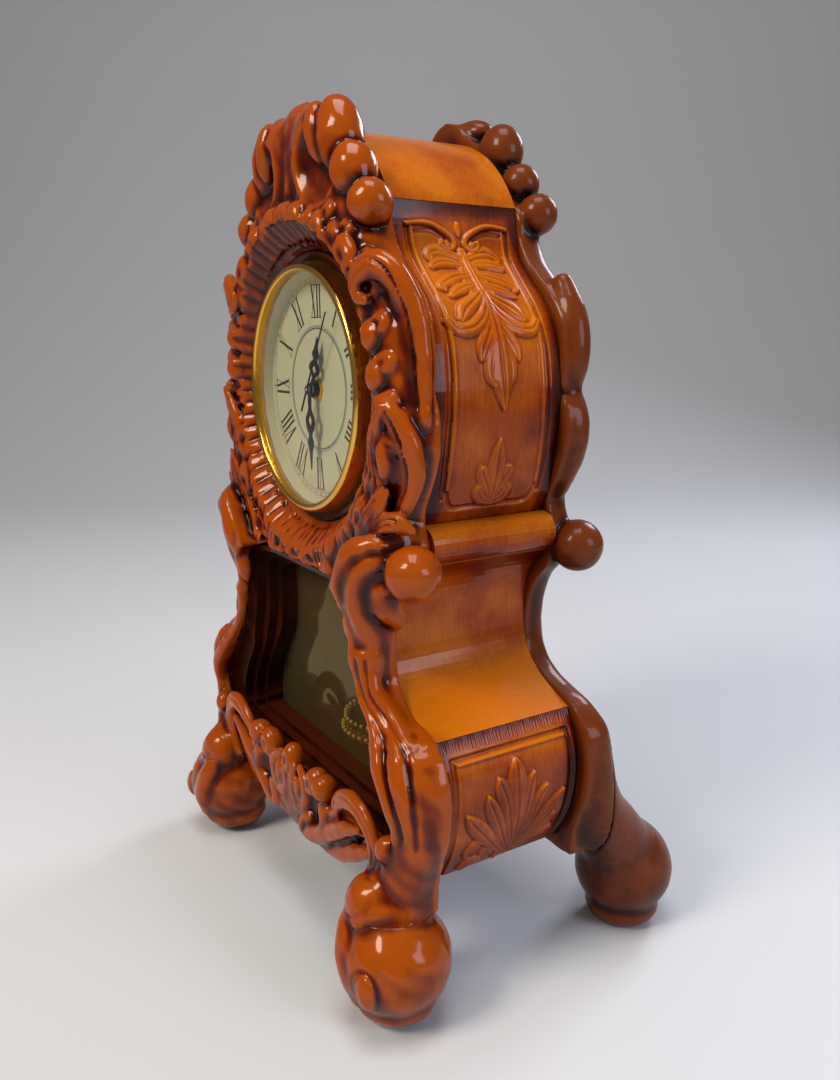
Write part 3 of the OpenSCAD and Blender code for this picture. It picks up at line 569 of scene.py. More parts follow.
@dataclass(frozen=True)
class Lacquer:
    """A stained and lacquered wood, in four tones from its rubbed edges, lightened further as painted
    highlight, to its deepest creases, darkened as pooled stain and painted shade.

    The grain is the size of its fibres along X, Y and Z in millimetres. The tone runs from 0 to 1, stain and
    painted light together: base is where an upright face stands, hollow and edge say how strongly recesses
    and edges shift it, darker in recesses as pooled stain and painted shade and lighter on raised edges as
    wear and painted highlight, the upward share how much a face that looks up is lightened and one that looks
    down darkened, as painted top light and under shade, and cloud and streak how much it varies in patches
    and along the fibres.
    """

    name: str
    rubbed_and_lit: str
    body: str
    deep: str
    pit: str
    grain: Point
    grain_depth: float
    roughness: float
    coat: float
    base: float = 0.38
    painted_top_light: float = -0.33
    hollow: float = 2.9
    edge: float = 1.9
    cloud: float = 0.9
    streak: float = 0.3
    # Sprayed stain drifts over about 4 cm
    patch_size: float = 38.46
    stops: tuple[float, float, float, float] = (0.1, 0.4, 0.68, 0.95)

    def build(self) -> bpy.types.Material:
        """Makes the material: stain pools in recesses and thins on raised edges, while painted shade darkens
        recesses and undersides and painted highlight lightens raised edges and tops.
        """
        made, tree, shader = new_material(self.name)
        place = add_node(tree, "ShaderNodeTexCoord").outputs["Object"]
        hollow = add_node(tree, "ShaderNodeAttribute", attribute_name="hollow").outputs["Fac"]
        edge = add_node(tree, "ShaderNodeAttribute", attribute_name="edge").outputs["Fac"]
        cloud = add_node(tree, "ShaderNodeTexNoise", {
            "Vector": place, "Scale": repeats(self.patch_size), "Detail": 4.0})
        run = add_node(tree, "ShaderNodeMapping", {
            "Vector": place, "Scale": tuple(repeats(size) for size in self.grain)})
        fibre = add_node(tree, "ShaderNodeTexNoise", {
            "Vector": run.outputs["Vector"], "Scale": 1.0, "Detail": 5.0, "Roughness": 0.6})
        facing = add_node(tree, "ShaderNodeNewGeometry").outputs["Normal"]
        height = add_node(tree, "ShaderNodeSeparateXYZ", {"Vector": facing}).outputs["Z"]
        # The tone is stain and painted light together: recesses and downward faces darkened as painted shade,
        # raised edges and upward faces lightened as painted highlight, on top of pooled stain and wear
        stain_and_light = self.base
        for source, share in ((height, self.painted_top_light), (hollow, self.hollow), (edge, self.edge)):
            stain_and_light = add_node(tree, "ShaderNodeMath", {0: source, 1: share, 2: stain_and_light},
                             operation="MULTIPLY_ADD").outputs[0]
        for source, share in ((cloud.outputs["Fac"], self.cloud), (fibre.outputs["Fac"], self.streak)):
            shift = add_node(tree, "ShaderNodeMath", {0: source, 1: share, 2: -share / 2},
                             operation="MULTIPLY_ADD").outputs[0]
            stain_and_light = add_node(tree, "ShaderNodeMath", {0: stain_and_light, 1: shift}, operation="ADD").outputs[0]
        colour = add_node(tree, "ShaderNodeValToRGB", {"Fac": stain_and_light})
        tones = (self.rubbed_and_lit, self.body, self.deep, self.pit)
        line = colour.color_ramp
        while len(line.elements) < len(tones):
            line.elements.new(0.5)
        for element, stop, tone in zip(line.elements, self.stops, tones):
            element.position = stop
            element.color = linear(tone)
        tree.links.new(colour.outputs["Color"], shader.inputs["Base Color"])
        rough = add_node(tree, "ShaderNodeMapRange", {
            "Value": cloud.outputs["Fac"], "To Min": self.roughness * 0.75, "To Max": self.roughness * 1.4})
        tree.links.new(rough.outputs["Result"], shader.inputs["Roughness"])
        bump = add_node(tree, "ShaderNodeBump", {
            "Height": fibre.outputs["Fac"], "Strength": 0.5, "Distance": self.grain_depth * MM})
        tree.links.new(bump.outputs["Normal"], shader.inputs["Normal"])
        # A thin amber lacquer warms what lies under it. Its index is near 1.5 when new, and is lower here to
        # match the photographed highlights, which are clear but weak
        for key, value in (("Coat Weight", self.coat), ("Coat Roughness", 0.1), ("Coat IOR", 1.36),
                           ("Coat Tint", linear("#f3b568")), ("Specular IOR Level", 0.12)):
            shader.inputs[key].default_value = value
        return made


@dataclass(frozen=True)
class Metal:
    """A bare or plated metal; dents is how strongly it is hammered."""

    name: str
    colour: str
    roughness: float
    dents: float = 0.0
    # Handling dulls brass in patches of about a centimetre, and the hammer leaves dents of about 2 mm
    wear_size: float = 11.11
    dent_size: float = 1.923

    def build(self) -> bpy.types.Material:
        """Makes the material, with fine wear in its gloss."""
        made, tree, shader = new_material(self.name)
        place = add_node(tree, "ShaderNodeTexCoord").outputs["Object"]
        wear = add_node(tree, "ShaderNodeTexNoise", {
            "Vector": place, "Scale": repeats(self.wear_size), "Detail": 3.0})
        rough = add_node(tree, "ShaderNodeMapRange", {
            "Value": wear.outputs["Fac"], "To Min": self.roughness * 0.7, "To Max": self.roughness * 1.5})
        tree.links.new(rough.outputs["Result"], shader.inputs["Roughness"])
        shader.inputs["Base Color"].default_value = linear(self.colour)
        shader.inputs["Metallic"].default_value = 1.0
        if self.dents > 0:
            cells = add_node(tree, "ShaderNodeTexVoronoi", {
                "Vector": place, "Scale": repeats(self.dent_size)})
            bump = add_node(tree, "ShaderNodeBump", {
                "Height": cells.outputs["Distance"], "Strength": self.dents, "Distance": 0.6 * MM})
            tree.links.new(bump.outputs["Normal"], shader.inputs["Normal"])
        return made


@dataclass(frozen=True)
class Plastic:
    """A moulded plastic or a paint."""

    name: str
    colour: str
    roughness: float
    # Real moulded grain is a tenth of a millimetre, too fine to draw, so it is drawn coarser
    grit_size: float = 1.111

    def build(self) -> bpy.types.Material:
        """Makes the material, with a faint moulded texture."""
        made, tree, shader = new_material(self.name)
        place = add_node(tree, "ShaderNodeTexCoord").outputs["Object"]
        grit = add_node(tree, "ShaderNodeTexNoise", {"Vector": place, "Scale": repeats(self.grit_size)})
        bump = add_node(tree, "ShaderNodeBump", {
            "Height": grit.outputs["Fac"], "Strength": 0.1, "Distance": 0.1 * MM})
        tree.links.new(bump.outputs["Normal"], shader.inputs["Normal"])
        shader.inputs["Base Color"].default_value = linear(self.colour)
        shader.inputs["Roughness"].default_value = self.roughness
        return made


@dataclass(frozen=True)
class Glass:
    """A clear or tinted glass, with a share of mirror for coated panes and a share of haze for dusty ones."""

    name: str
    tint: str
    mirror: float = 0.0
    mirror_tint: str = "#ffffff"
    haze: float = 0.0

    def build(self) -> bpy.types.Material:
        """Makes the material; thin panes let light straight through, so what is behind stays lit."""
        made = bpy.data.materials.new(self.name)
        made.use_nodes = True
        tree = made.node_tree
        tree.nodes.clear()
        clear = add_node(tree, "ShaderNodeBsdfTransparent", {"Color": linear(self.tint)})
        shine = add_node(tree, "ShaderNodeBsdfGlossy", {"Color": linear(self.mirror_tint), "Roughness": 0.03})
        bent = add_node(tree, "ShaderNodeFresnel", {"IOR": 1.45})
        both = add_node(tree, "ShaderNodeMath", {0: bent.outputs["Fac"], 1: self.mirror}, operation="ADD",
                        use_clamp=True)
        inside = add_node(tree, "ShaderNodeNewGeometry").outputs["Backfacing"]
        outside = add_node(tree, "ShaderNodeMath", {0: 1.0, 1: inside}, operation="SUBTRACT")
        share = add_node(tree, "ShaderNodeMath", {0: both.outputs[0], 1: outside.outputs[0]},
                         operation="MULTIPLY").outputs[0]
        dust = add_node(tree, "ShaderNodeBsdfDiffuse", {"Color": linear(self.mirror_tint)})
        body = add_node(tree, "ShaderNodeMixShader", {
            "Fac": self.haze, 1: clear.outputs["BSDF"], 2: dust.outputs["BSDF"]})
        mix = add_node(tree, "ShaderNodeMixShader", {
            "Fac": share, 1: body.outputs["Shader"], 2: shine.outputs["BSDF"]})
        add_node(tree, "ShaderNodeOutputMaterial", {"Surface": mix.outputs["Shader"]})
        return made


class Finishes:
    """The clock's materials, built once and shared by the pieces."""

    def __init__(self) -> None:
        """Builds every material."""
        # Beech's flecks are under a millimetre wide, too fine to show here, so they are drawn 6 mm wide
        grain = (6.25, 6.25, 25.0)
        # Lacquered beech: amber on the rounds, lightened there as painted highlight, and near black in the
        # creases, darkened there as painted shade as well as pooled stain, with wet highlights
        self.carved = Lacquer("amber_lacquered_beech", "#a85c06", "#6c2801", "#3a0900", "#1c0300",
                              grain, 0.1, 0.24, 0.75).build()
        # The same beech in a browner stain, darkened further as painted shade and left duller, so that the
        # rear frame stands back in the shade
        self.rear = Lacquer("brown_beech_with_painted_shade", "#6e360c", "#411a03", "#1e0801", "#090200",
                            grain, 0.12, 0.38, 0.4).build()
        # Combed panel wood: fine upright lines about 1.4 mm apart under a thin amber stain, which catch the
        # light softly
        self.panel = Lacquer("amber_combed_panel", "#d08214", "#a04c04", "#5a1802", "#240600",
                             (1.4286, 1.4286, 22.22), 0.35, 0.28, 0.55).build()
        # Dark beech, its stain darkened further as painted shade: the steps round the window read as shade,
        # so the pane stands back
        self.inner = Lacquer("dark_beech_with_painted_shade", "#4a1f0a", "#2a1004", "#160602", "#080200",
                             grain, 0.1, 0.35, 0.5).build()
        # Polished brass: sharp warm reflections on the bezel's lip and the small turned parts
        self.brass = Metal("polished_brass", "#e2b04c", 0.14).build()
        # Hammered brass: dents that break the highlight into sparks
        self.hammered = Metal("hammered_brass", "#d09a34", 0.3, 0.35).build()
        # Satin plate: an even champagne ground that keeps the numerals clear of glare
        self.dial = Plastic("champagne_satin_plate", "#c9c19c", 0.3).build()
        # Zinc plate: cool grey shafts and screws with soft highlights
        self.steel = Metal("zinc_plated_steel", "#b9bbbd", 0.3).build()
        # Enamelled wire: a dull copper glow on the coil
        self.copper = Metal("enamelled_copper_wire", "#b4622c", 0.35).build()
        # Black paint: hands and numerals stay dark from every side
        self.paint = Plastic("black_hand_paint", "#0b0b0c", 0.35).build()
        # Black plastic: the movement's case, a little greyer and duller than the paint
        self.black = Plastic("black_moulded_plastic", "#17181a", 0.5).build()
        # Acetal: waxy ivory gears
        self.ivory = Plastic("ivory_acetal", "#e6dfc6", 0.4).build()
        # Board resin: a dull deep green
        self.green = Plastic("green_board_resin", "#12512a", 0.4).build()
        # Battery film: smooth amber with a broad highlight
        self.wrap = Plastic("amber_battery_film", "#b98622", 0.3).build()
        # Clear glass: only its reflections show over the dial
        self.glass = Glass("clear_domed_glass", "#fbfdfc").build()
        # Smoked glass: a faint bronze haze over the pendulum, with a weak mirror image of the room
        self.smoked = Glass("bronze_smoked_glass", "#eee6c6", 0.06, "#b9aa7c", 0.07).build()
        # Mirror: pale green flashes as the pendulum turns, the green tint being a painted reflection of the
        # olive round it
        self.mirror = Metal("mirror_with_painted_olive_tint", "#c9d8bd", 0.06).build()
        # Glass beads: milky white, partly a painted highlight for the crystal's sparkle, with a small sharp
        # highlight each
        self.bead = Plastic("bead_with_painted_sparkle", "#f4f1e2", 0.15).build()

    def slots(self) -> dict[str, bpy.types.Material]:
        """Returns the material of each slot that the record names."""
        return {
            "carved_wood": self.carved, "rear_wood": self.rear, "side_wood": self.panel,
            "inner_wood": self.inner, "polished_brass": self.brass, "clear_glass": self.glass,
            "tinted_glass": self.smoked, "silvered_plate": self.dial, "black_steel": self.paint,
            "black_plastic": self.black, "ivory_plastic": self.ivory, "steel": self.steel,
            "copper_winding": self.copper, "circuit_resin": self.green, "battery_wrap": self.wrap,
            "mirror_face": self.mirror, "crystal_beads": self.bead,
        }

    def dress_nodes(self) -> None:
        """Gives each construction node that is kept the material of its slot."""
        by_slot = self.slots()
        for part in frame["record"]["subparts"]:
            obj = frame["nodes"][part["node"]]
            obj.data.materials.clear()
            obj.data.materials.append(by_slot[part["material_slot"]])


def dress(obj: bpy.types.Object, material: bpy.types.Material, slot: str, body: str, *nodes: str) -> None:
    """Gives a piece its material, lets it ride its body and stand in for nodes.

    Args:
        obj: The piece.
        material: Its material.
        slot: The record's slot for it; not used.
        body: The body that carries it.
        *nodes: The construction nodes that it replaces.
    """
    obj.data.materials.append(material)
    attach(obj, body)
    if nodes:
        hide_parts(*nodes)
    log.info("%s rides %s", obj.name, body)


# Stretches of half outlines as X and Z, from the middle outwards; the other half mirrors them
CREST = ((0, 512), (10, 509), (22, 500), (38, 490), (52, 474), (64, 460), (77, 448))
APRON = ((108, 66), (102, 82), (90, 84), (78, 72), (58, 62), (44, 52), (26, 47), (12, 42), (0, 40))
REVEAL = ((0, 240), (40, 240), (66, 239), (78, 231), (82, 222), (83, 202), (92, 181), (105, 165), (116, 148),
          (129, 133), (132, 114), (126, 98), (0, 98))
LEG_SCROLL = ((0, 212), (44, 218), (62, 234), (76, 254), (90, 270), (106, 276), (122, 270), (128, 252),
              (178, 232), (178, 0), (0, 0))


def closed(*stretches: Sequence[Sequence[float]], steps: int = 3) -> tuple:
    """Smooths the stretches of a half outline and joins its mirror image.

    Args:
        *stretches: Points of X and Z.
        steps: Samples between each two points.

    Returns:
        The whole outline's points.
    """
    line = np.vstack([smooth_path(stretch, steps) for stretch in stretches])
    return tuple(map(tuple, np.vstack([line, line[::-1] * (-1, 1)])))


def frame_outline(swell: float) -> tuple:
    """Returns the outline that both carved frames share.

    Args:
        swell: How far the waist stands outside the rear frame's.

    Returns:
        The whole outline's points.
    """
    side = ((79, 436), (86, 423), (95, 414), (108, 402), (118, 385), (121, 364), (120, 350), (124, 338),
            (124, 318), (117, 300), (109, 284), (114, 268), (112, 248), (99 + swell, 234), (92 + swell, 218),
            (90 + swell, 203), (92 + swell, 190), (99 + swell, 180), (114, 172), (138, 164), (148, 152),
            (152, 138), (152, 124), (149, 110), (144, 96), (140, 82), (139, 66))
    return closed(CREST + side, APRON, steps=4)


def arc_path(x: float, z: float, radius: float, ends: tuple[float, float], y: float,
             thick: tuple[float, float, float], count: int = 7) -> list[tuple[float, float, float, float]]:
    """Lays out an arc in the XZ plane, thickest at its middle.

    Args:
        x: The arc's centre along X.
        z: The arc's centre along Z.
        radius: Its radius.
        ends: First and last angle in degrees.
        y: Its depth.
        thick: The roll's radius at the first end, the middle and the last end.
        count: Number of points.

    Returns:
        Rows of x, y, z and radius.
    """
    rows = []
    for i in range(count):
        t = i / (count - 1)
        angle = math.radians(ends[0] + (ends[1] - ends[0]) * t)
        size = np.interp(t, (0, 0.5, 1), thick)
        rows.append((x + radius * math.cos(angle), y, z + radius * math.sin(angle), float(size)))
    return rows


def mirrored_copy(obj: bpy.types.Object, name: str) -> bpy.types.Object:
    """Copies a piece to the other side of the case, attributes included."""
    mesh = obj.data.copy()
    mesh.name = name
    mesh.materials.clear()
    mesh.transform(Matrix.Scale(-1, 4, Vector((1, 0, 0))))
    mesh.flip_normals()
    copy = bpy.data.objects.new(name, mesh)
    link(copy)
    return copy


def skin_feet(clay: Clay, keep: np.ndarray, end: End, material: bpy.types.Material, slot: str) -> None:
    """Skins the right foot, copies it to the left and dresses both.

    Args:
        clay: The block.
        keep: The distance field that parts the foot from the frame.
        end: The end of the case that they carry.
        material: The feet's material.
        slot: The record's slot for them.
    """
    x, _, _ = clay.grid()
    right, left = (f"{end.value}_{side.name.lower()}_foot" for side in Side)
    foot = clay.skin(f"carved_{right}", np.maximum(keep, FOOT_INNER - x), mirrored=False)
    dress(foot, material, slot, "case", right)
    dress(mirrored_copy(foot, f"carved_{left}"), material, slot, "case", left)


@dataclass(frozen=True)
class FrontFrame:
    """The front frame with its two feet, carved from one block and then parted.

    The carving steps name places as X, Y and Z in millimetres, on the right half alone. A ball is given by
    its middle, its radii and its lean, a roll by rows of a place and a radius, and the last number of each
    press and cut is the width of its fillet.
    """

    seam: float = FRONT_SEAM
    face: float = -78.5
    leg_back: float = LEG_SEAM
    leg_face: float = -94.5
    leg_top: float = 255.0
    seat: float = -63.0
    recess: float = 82.0
    hole: float = 56.0
    channel: float = 97.0
    channel_floor: float = -69.5
    flute_depth: float = 1.6
    foot_top: float = 66.0
    part_gap: float = 0.5
    sink: float = 0.3
    tool_mark: float = 0.3
    waist_swell: float = 6.0
    foot: Point = (128.0, -87.5, 37.0)
    foot_r: float = 31.5

    def build(self, finishes: Finishes) -> None:
        """Carves the block, skins its pieces and dresses them."""
        step = 1.0
        clay = Clay((0.0, -124.0, -2.0), (168.0, -50.0, 526.0), step)
        for carve in (
                self.rough_out, self.carve_ring, self.carve_crest, self.carve_shoulder, self.carve_waist,
                self.carve_leg, self.carve_apron, self.carve_foot, self.clear):
            carve(clay)
        x, y, z = clay.grid()
        clay.field += self.tool_mark * np.sin(x / 3.1 + 1.7 * np.sin(z / 7.3)) * np.sin(z / 3.7 + y / 4.1)
        below = self.foot_top - z
        # The feet are round all the way, while the legs and the upper frame end flat against the case
        back = np.where(z < self.leg_top, self.leg_back, self.seam)
        back = np.where(z < self.foot_top + self.part_gap, FAR, back)
        clay.field = np.maximum(np.maximum(clay.field, y - back), -z)
        front = clay.skin("carved_front_frame", below - self.part_gap)
        dress(front, finishes.carved, "carved_wood", "case", "front_frame")
        skin_feet(clay, -below - self.part_gap, End.FRONT, finishes.carved, "carved_wood")

    def rough_out(self, clay: Clay) -> None:
        """Presses the plain frame, its deeper legs and the volutes, and opens the dial and the window."""
        outline = frame_outline(self.waist_swell)
        clay.press(Plate(outline, self.face, self.seam, soft_front=17.0), 0.5)
        x, y, z = clay.grid()
        # The dial stands in a shallow channel, so the ring of lobes rises from lower ground
        channel = np.maximum(from_axis(x, z) - self.channel, y - self.channel_floor)
        clay.field = -smooth_min(-clay.field, channel, 6.0)
        legs = Plate(outline, self.leg_face, self.leg_back, soft_front=8.0, soft_back=6.0, crown=15.0,
                     crown_width=26.0)
        window, found = clay.measure(legs, 4.0)
        scroll = Plate(closed(LEG_SCROLL), self.leg_face - 20, self.seam + 20, 1.0)
        found = np.maximum(found, scroll.distance(*clay.places(window)))
        clay.field[window] = smooth_min(clay.field[window], found, 6.0)
        clay.cut(Plate(closed(REVEAL), -140.0, self.leg_back + 1, 0.5), 3.0)
        self.clear(clay)
        clay.field = np.maximum(clay.field, np.where(z < self.leg_top, y - self.leg_back, -FAR))

    def clear(self, clay: Clay) -> None:
        """Keeps the dial's recess, the hole behind it and the mouldings' room open."""
        x, y, z = clay.grid()
        reach = from_axis(x, z)
        turn = np.arctan2(z - DIAL_Z, x)
        # Flutes run up the recess's wall, which flares in front of its seat
        flute = self.flute_depth * np.abs(np.cos(turn * 31 + 0.8 * np.sin(turn * 5))) ** 0.7
        flute = flute * np.clip((self.seat - 5 - y) / 5, 0, 1)
        flare = 0.95 * np.clip(self.seat - 3.0 - y, 0.0, 18.0)
        recess = np.maximum(reach - self.recess - flare + flute, y - self.seat)
        clay.field = -smooth_min(-clay.field, np.minimum(recess, reach - self.hole), 0.8)
        clay.cut(Plate(closed(REVEAL), -84.0, self.leg_back + 1, 0.5), 1.0)

    def band(self, clay: Clay, rows: Sequence[Sequence[float]], flat: float = 0.6,
             grooves: Sequence[float] = (0.0,), depth: float = 1.1, blend: float = 2.5) -> None:
        """Presses a broad band and cuts grooves along it.

        Args:
            clay: The block.
            rows: Its path as x, y, z and half width.
            flat: Its depth as a share of its width.
            grooves: Where the grooves run, from -1 at one edge to 1 at the other.
            depth: The grooves' radius.
            blend: The fillet where it meets the block.
        """
        rows = self.sunk(rows)
        clay.press(Roll(rows, flat), blend)
        path = smooth_path(rows, 5)
        along = np.gradient(path[:, [0, 2]], axis=0)
        across = np.stack([-along[:, 1], along[:, 0]], axis=1) / np.maximum(
            np.hypot(along[:, 0], along[:, 1]), 1e-6)[:, None]
        fade = np.clip(np.minimum(np.arange(len(path)), np.arange(len(path))[::-1]) / 4, 0.15, 1)
        for share in grooves:
            at = path[:, [0, 2]] + across * (share * path[:, 3:4])
            y = path[:, 1] - path[:, 3] * flat * math.sqrt(max(0.0, 1 - share * share))
            size = np.minimum(depth, path[:, 3] * 0.3) * fade
            clay.cut(Roll(tuple(zip(at[:, 0], y, at[:, 1], size)), 1.0, 1), 0.9)

    def sunk(self, rows: Sequence[Sequence[float]]) -> tuple:
        """Moves a path of x, y, z and radius back into the wood, by a share of its radius."""
        return tuple((x, y + self.sink * radius, z, radius) for x, y, z, radius in rows)

    def lobe(self, clay: Clay, at: tuple[float, float], length: float, width: float, lean: float,
             swell: float = 5.0, scoop: float = 0.5) -> None:
        """Presses a rounded petal on the front surface, creased down its middle and scooped at its root.

        Args:
            clay: The block.
            at: X and Z of its middle.
            length: Half its length.
            width: Half its width.
            lean: Turn of its long axis from upright, towards +X at the top.
            swell: How thick it is.
            scoop: Size of the scoop, as a share of the petal.
        """
        y = clay.drape(((at[0], at[1], 1.0), (at[0], at[1], 1.0)), 0.0, 1)[0][1]
        clay.press(Ball((at[0], y + 1.5, at[1]), (width, swell, length), lean), 1.6)
        c, s = math.cos(math.radians(lean)), math.sin(math.radians(lean))
        clay.cut(Ball((at[0] + s * length * 0.25, y - swell, at[1] + c * length * 0.25),
                      (width * scoop, swell * 0.62, length * scoop), lean), 1.6)
        ends = [(at[0] + s * length * k, y + 1.5 - swell * math.sqrt(max(0.0, 1 - k * k)),
                 at[1] + c * length * k, 0.8) for k in (-0.85, -0.4, 0.1, 0.6)]
        clay.cut(Roll(tuple(ends)), 0.8)

    def carve_ring(self, clay: Clay) -> None:
        """Presses the ring of folded lobes round the dial and the petals outside it."""
        clay.press(Ruff(radius=97.5, depth=-71.5, thick=11.0, lobes=17, folds=62, lobe_lift=3.0,
                        fold_lift=3.0, side_shift=5.0), 3.0)
        for i in range(9):
            angle = -88 + i * 9.5
            turn = math.radians(angle)
            reach = 110 + 2.5 * math.sin(i * 2.3)
            self.lobe(clay, (reach * math.cos(turn), DIAL_Z + reach * math.sin(turn)),
                      10 + 1.5 * math.sin(i * 1.7), 7.5, 270 - angle, 5.5, 0.6)
        for i in range(7):
            angle = 62 - i * 10.5
            turn = math.radians(angle)
            at = (108 * math.cos(turn), DIAL_Z + 108 * math.sin(turn))
            self.lobe(clay, at, 9, 7, 90 - angle, 5.0, 0.6)
        for x, z, length, width, lean in (
                (4, 240, 10, 7, 186), (18, 241, 9, 6.5, 168), (32, 245, 9, 6, 158)):
            clay.press(Ball((x, -76, z), (width, 6.5, length), lean), 2.0)
            clay.cut(Ball((x, -83, z + 2), (width * 0.55, 3.4, length * 0.6), lean), 1.5)

    def carve_crest(self, clay: Clay) -> None:
        """Carves the middle leaf, the scooped wing and its three balls."""
        clay.press(Ball((28, -72, 473), (27, 12, 36), -30), 4.0)
        clay.cut(Ball((37, -92, 471), (25, 19, 28), -34), 1.2)
        self.band(clay, ((3, -68, 508.5, 3.0), (1, -74, 502, 4.6), (-1, -78, 484, 5.6), (-1, -79, 462, 6.2),
                         (0, -78, 446, 6.0)), 0.6, (), 1.0, 4.0)
        clay.press(Ball((45, -68, 486), (14.5, 13.5, 22.5), -14), 1.0)
        clay.press(Ball((34.5, -75, 489), (8, 9, 17.5), -12), 0.8)
        clay.press(Ball((60, -68, 466), (13.5, 13.5, 16), -12), 0.8)
        clay.press(Ball((77, -68, 448), (12.5, 12.5, 13)), 0.8)
        clay.cut(Roll(arc_path(76, 445, 7.5, (150, 310), -80.5, (0.8, 1.8, 0.8))), 1.0)
        clay.cut(Ball((84, -84, 428), (10, 9, 10)), 5.0)
        for x, z, length, width, lean in (
                (3, 447, 10, 8, 186), (17, 445, 10, 8, 172), (31, 441, 10.5, 8, 164), (45, 437, 11, 8, 156),
                (58, 431, 11.5, 8.5, 148), (71, 422, 12, 9, 140), (83, 410, 11, 8, 130)):
            self.lobe(clay, (x, z), length, width, lean, 6.0, 0.6)

    def carve_shoulder(self, clay: Clay) -> None:
        """Carves the scroll, berries and leaves between the ring and the outer edge."""
        self.band(clay, (
            (95, -83, 397, 2.6), (87, -84, 401, 4.2), (89, -85, 410, 6.0), (100, -82, 415, 7.6),
            (110, -76, 408, 9.0), (116, -70, 391, 9.6), (118, -67, 371, 9.4), (119, -66, 352, 8.0),
            (121, -66, 338, 6.0)), 0.6, (0.35,), 0.8, 4.0)
        clay.press(Ball((96, -76, 380), (9.0, 9, 9.5)), 1.0)
        clay.press(Ball((100, -75, 359), (9.5, 9.5, 10.5)), 1.0)
        self.band(clay, (
            (106, -83, 347, 2.0), (113, -81, 341, 5.5), (119, -75, 326, 8.5), (119, -71, 308, 8.5),
            (113, -74, 290, 6.0), (103, -80, 274, 2.5)), 0.6, (0.2,), 0.8, 4.0)
        self.band(clay, (
            (111, -84, 344, 1.6), (103, -83, 333, 5.0), (98, -81, 319, 6.6), (100, -80, 304, 5.6),
            (105, -79, 291, 2.4)), 0.6, (-0.2, 0.3), 0.9, 3.0)
        clay.press(Ball((108, -77, 318), (5.5, 7, 13)), 1.5)
        self.band(clay, ((112, -81, 300, 2.2), (103, -83, 291, 6.4), (92, -83, 279, 8.0), (82, -82, 265, 7.4),
                         (72, -83, 253, 5.4), (60, -84, 244, 2.4)), 0.55, (-0.4, 0.0, 0.4), 1.0, 3.5)
        self.lobe(clay, (94, 300), 13, 8, 200, 6.0, 0.55)
        self.lobe(clay, (84, 284), 13, 8, 212, 6.0, 0.55)
        self.lobe(clay, (64, 256), 12, 8, 216, 6.0, 0.55)
        self.band(clay, (
            (97, -84, 274, 2.4), (107, -83, 281, 5.0), (116, -79, 284, 5.6), (123, -73, 280, 3.0)),
            0.6, (-0.2, 0.3), 0.9, 2.5)

    def carve_waist(self, clay: Clay) -> None:
        """Carves the three strands that curl over each knob and the leaves that hang under them."""
        for rows in (((86, 192, 2.5), (83, 208, 4.6), (81, 226, 6.0), (82, 243, 6.6), (87, 256, 6.6),
                      (94, 265, 6.0), (102, 270, 4.8), (108, 271, 3.0)),
                     ((95, 194, 2.5), (93, 210, 4.6), (91, 228, 5.8), (93, 244, 6.0), (99, 255, 5.6),
                      (106, 261, 4.6), (112, 262, 3.0)),
                     ((103, 198, 2.2), (101, 214, 4.2), (101, 230, 5.0), (104, 242, 4.6), (109, 247, 3.6),
                      (113, 245, 2.2))):
            clay.press(Roll(clay.drape(rows, 1.4), 1.0, 1), 4.0)
        clay.press(Ball((124, -72, 257), (15.5, 15.5, 15.5)), 1.2)
        clay.press(Ball((80, -84, 222), (4.5, 7.5, 13), 4), 2.0)

    def carve_leg(self, clay: Clay) -> None:
        """Carves the ridges and creases that run down each leg from the scroll to the foot."""
        heights = (88, 104, 124, 146, 162, 172, 184, 203)
        inner = (122, 131, 134, 119, 108, 101, 92, 85)
        outer = (148, 152, 154, 154, 146, 124, 105, 100)
        for share, size, sink in ((0.1, 4.4, 2.0), (0.48, 5.0, 2.6)):
            rows = [(a + (b - a) * share, z, size) for z, a, b in zip(heights, inner, outer)]
            clay.press(Roll(clay.drape(rows, sink), 1.0, 1), 6.0)
        for share in (0.29, 0.7):
            rows = [(a + (b - a) * share, z, 0.7 + 0.6 * min(1, i, 7 - i))
                    for i, (z, a, b) in enumerate(zip(heights, inner, outer))]
            clay.cut(Roll(clay.drape(rows, -0.2), 1.0, 1), 3.0)

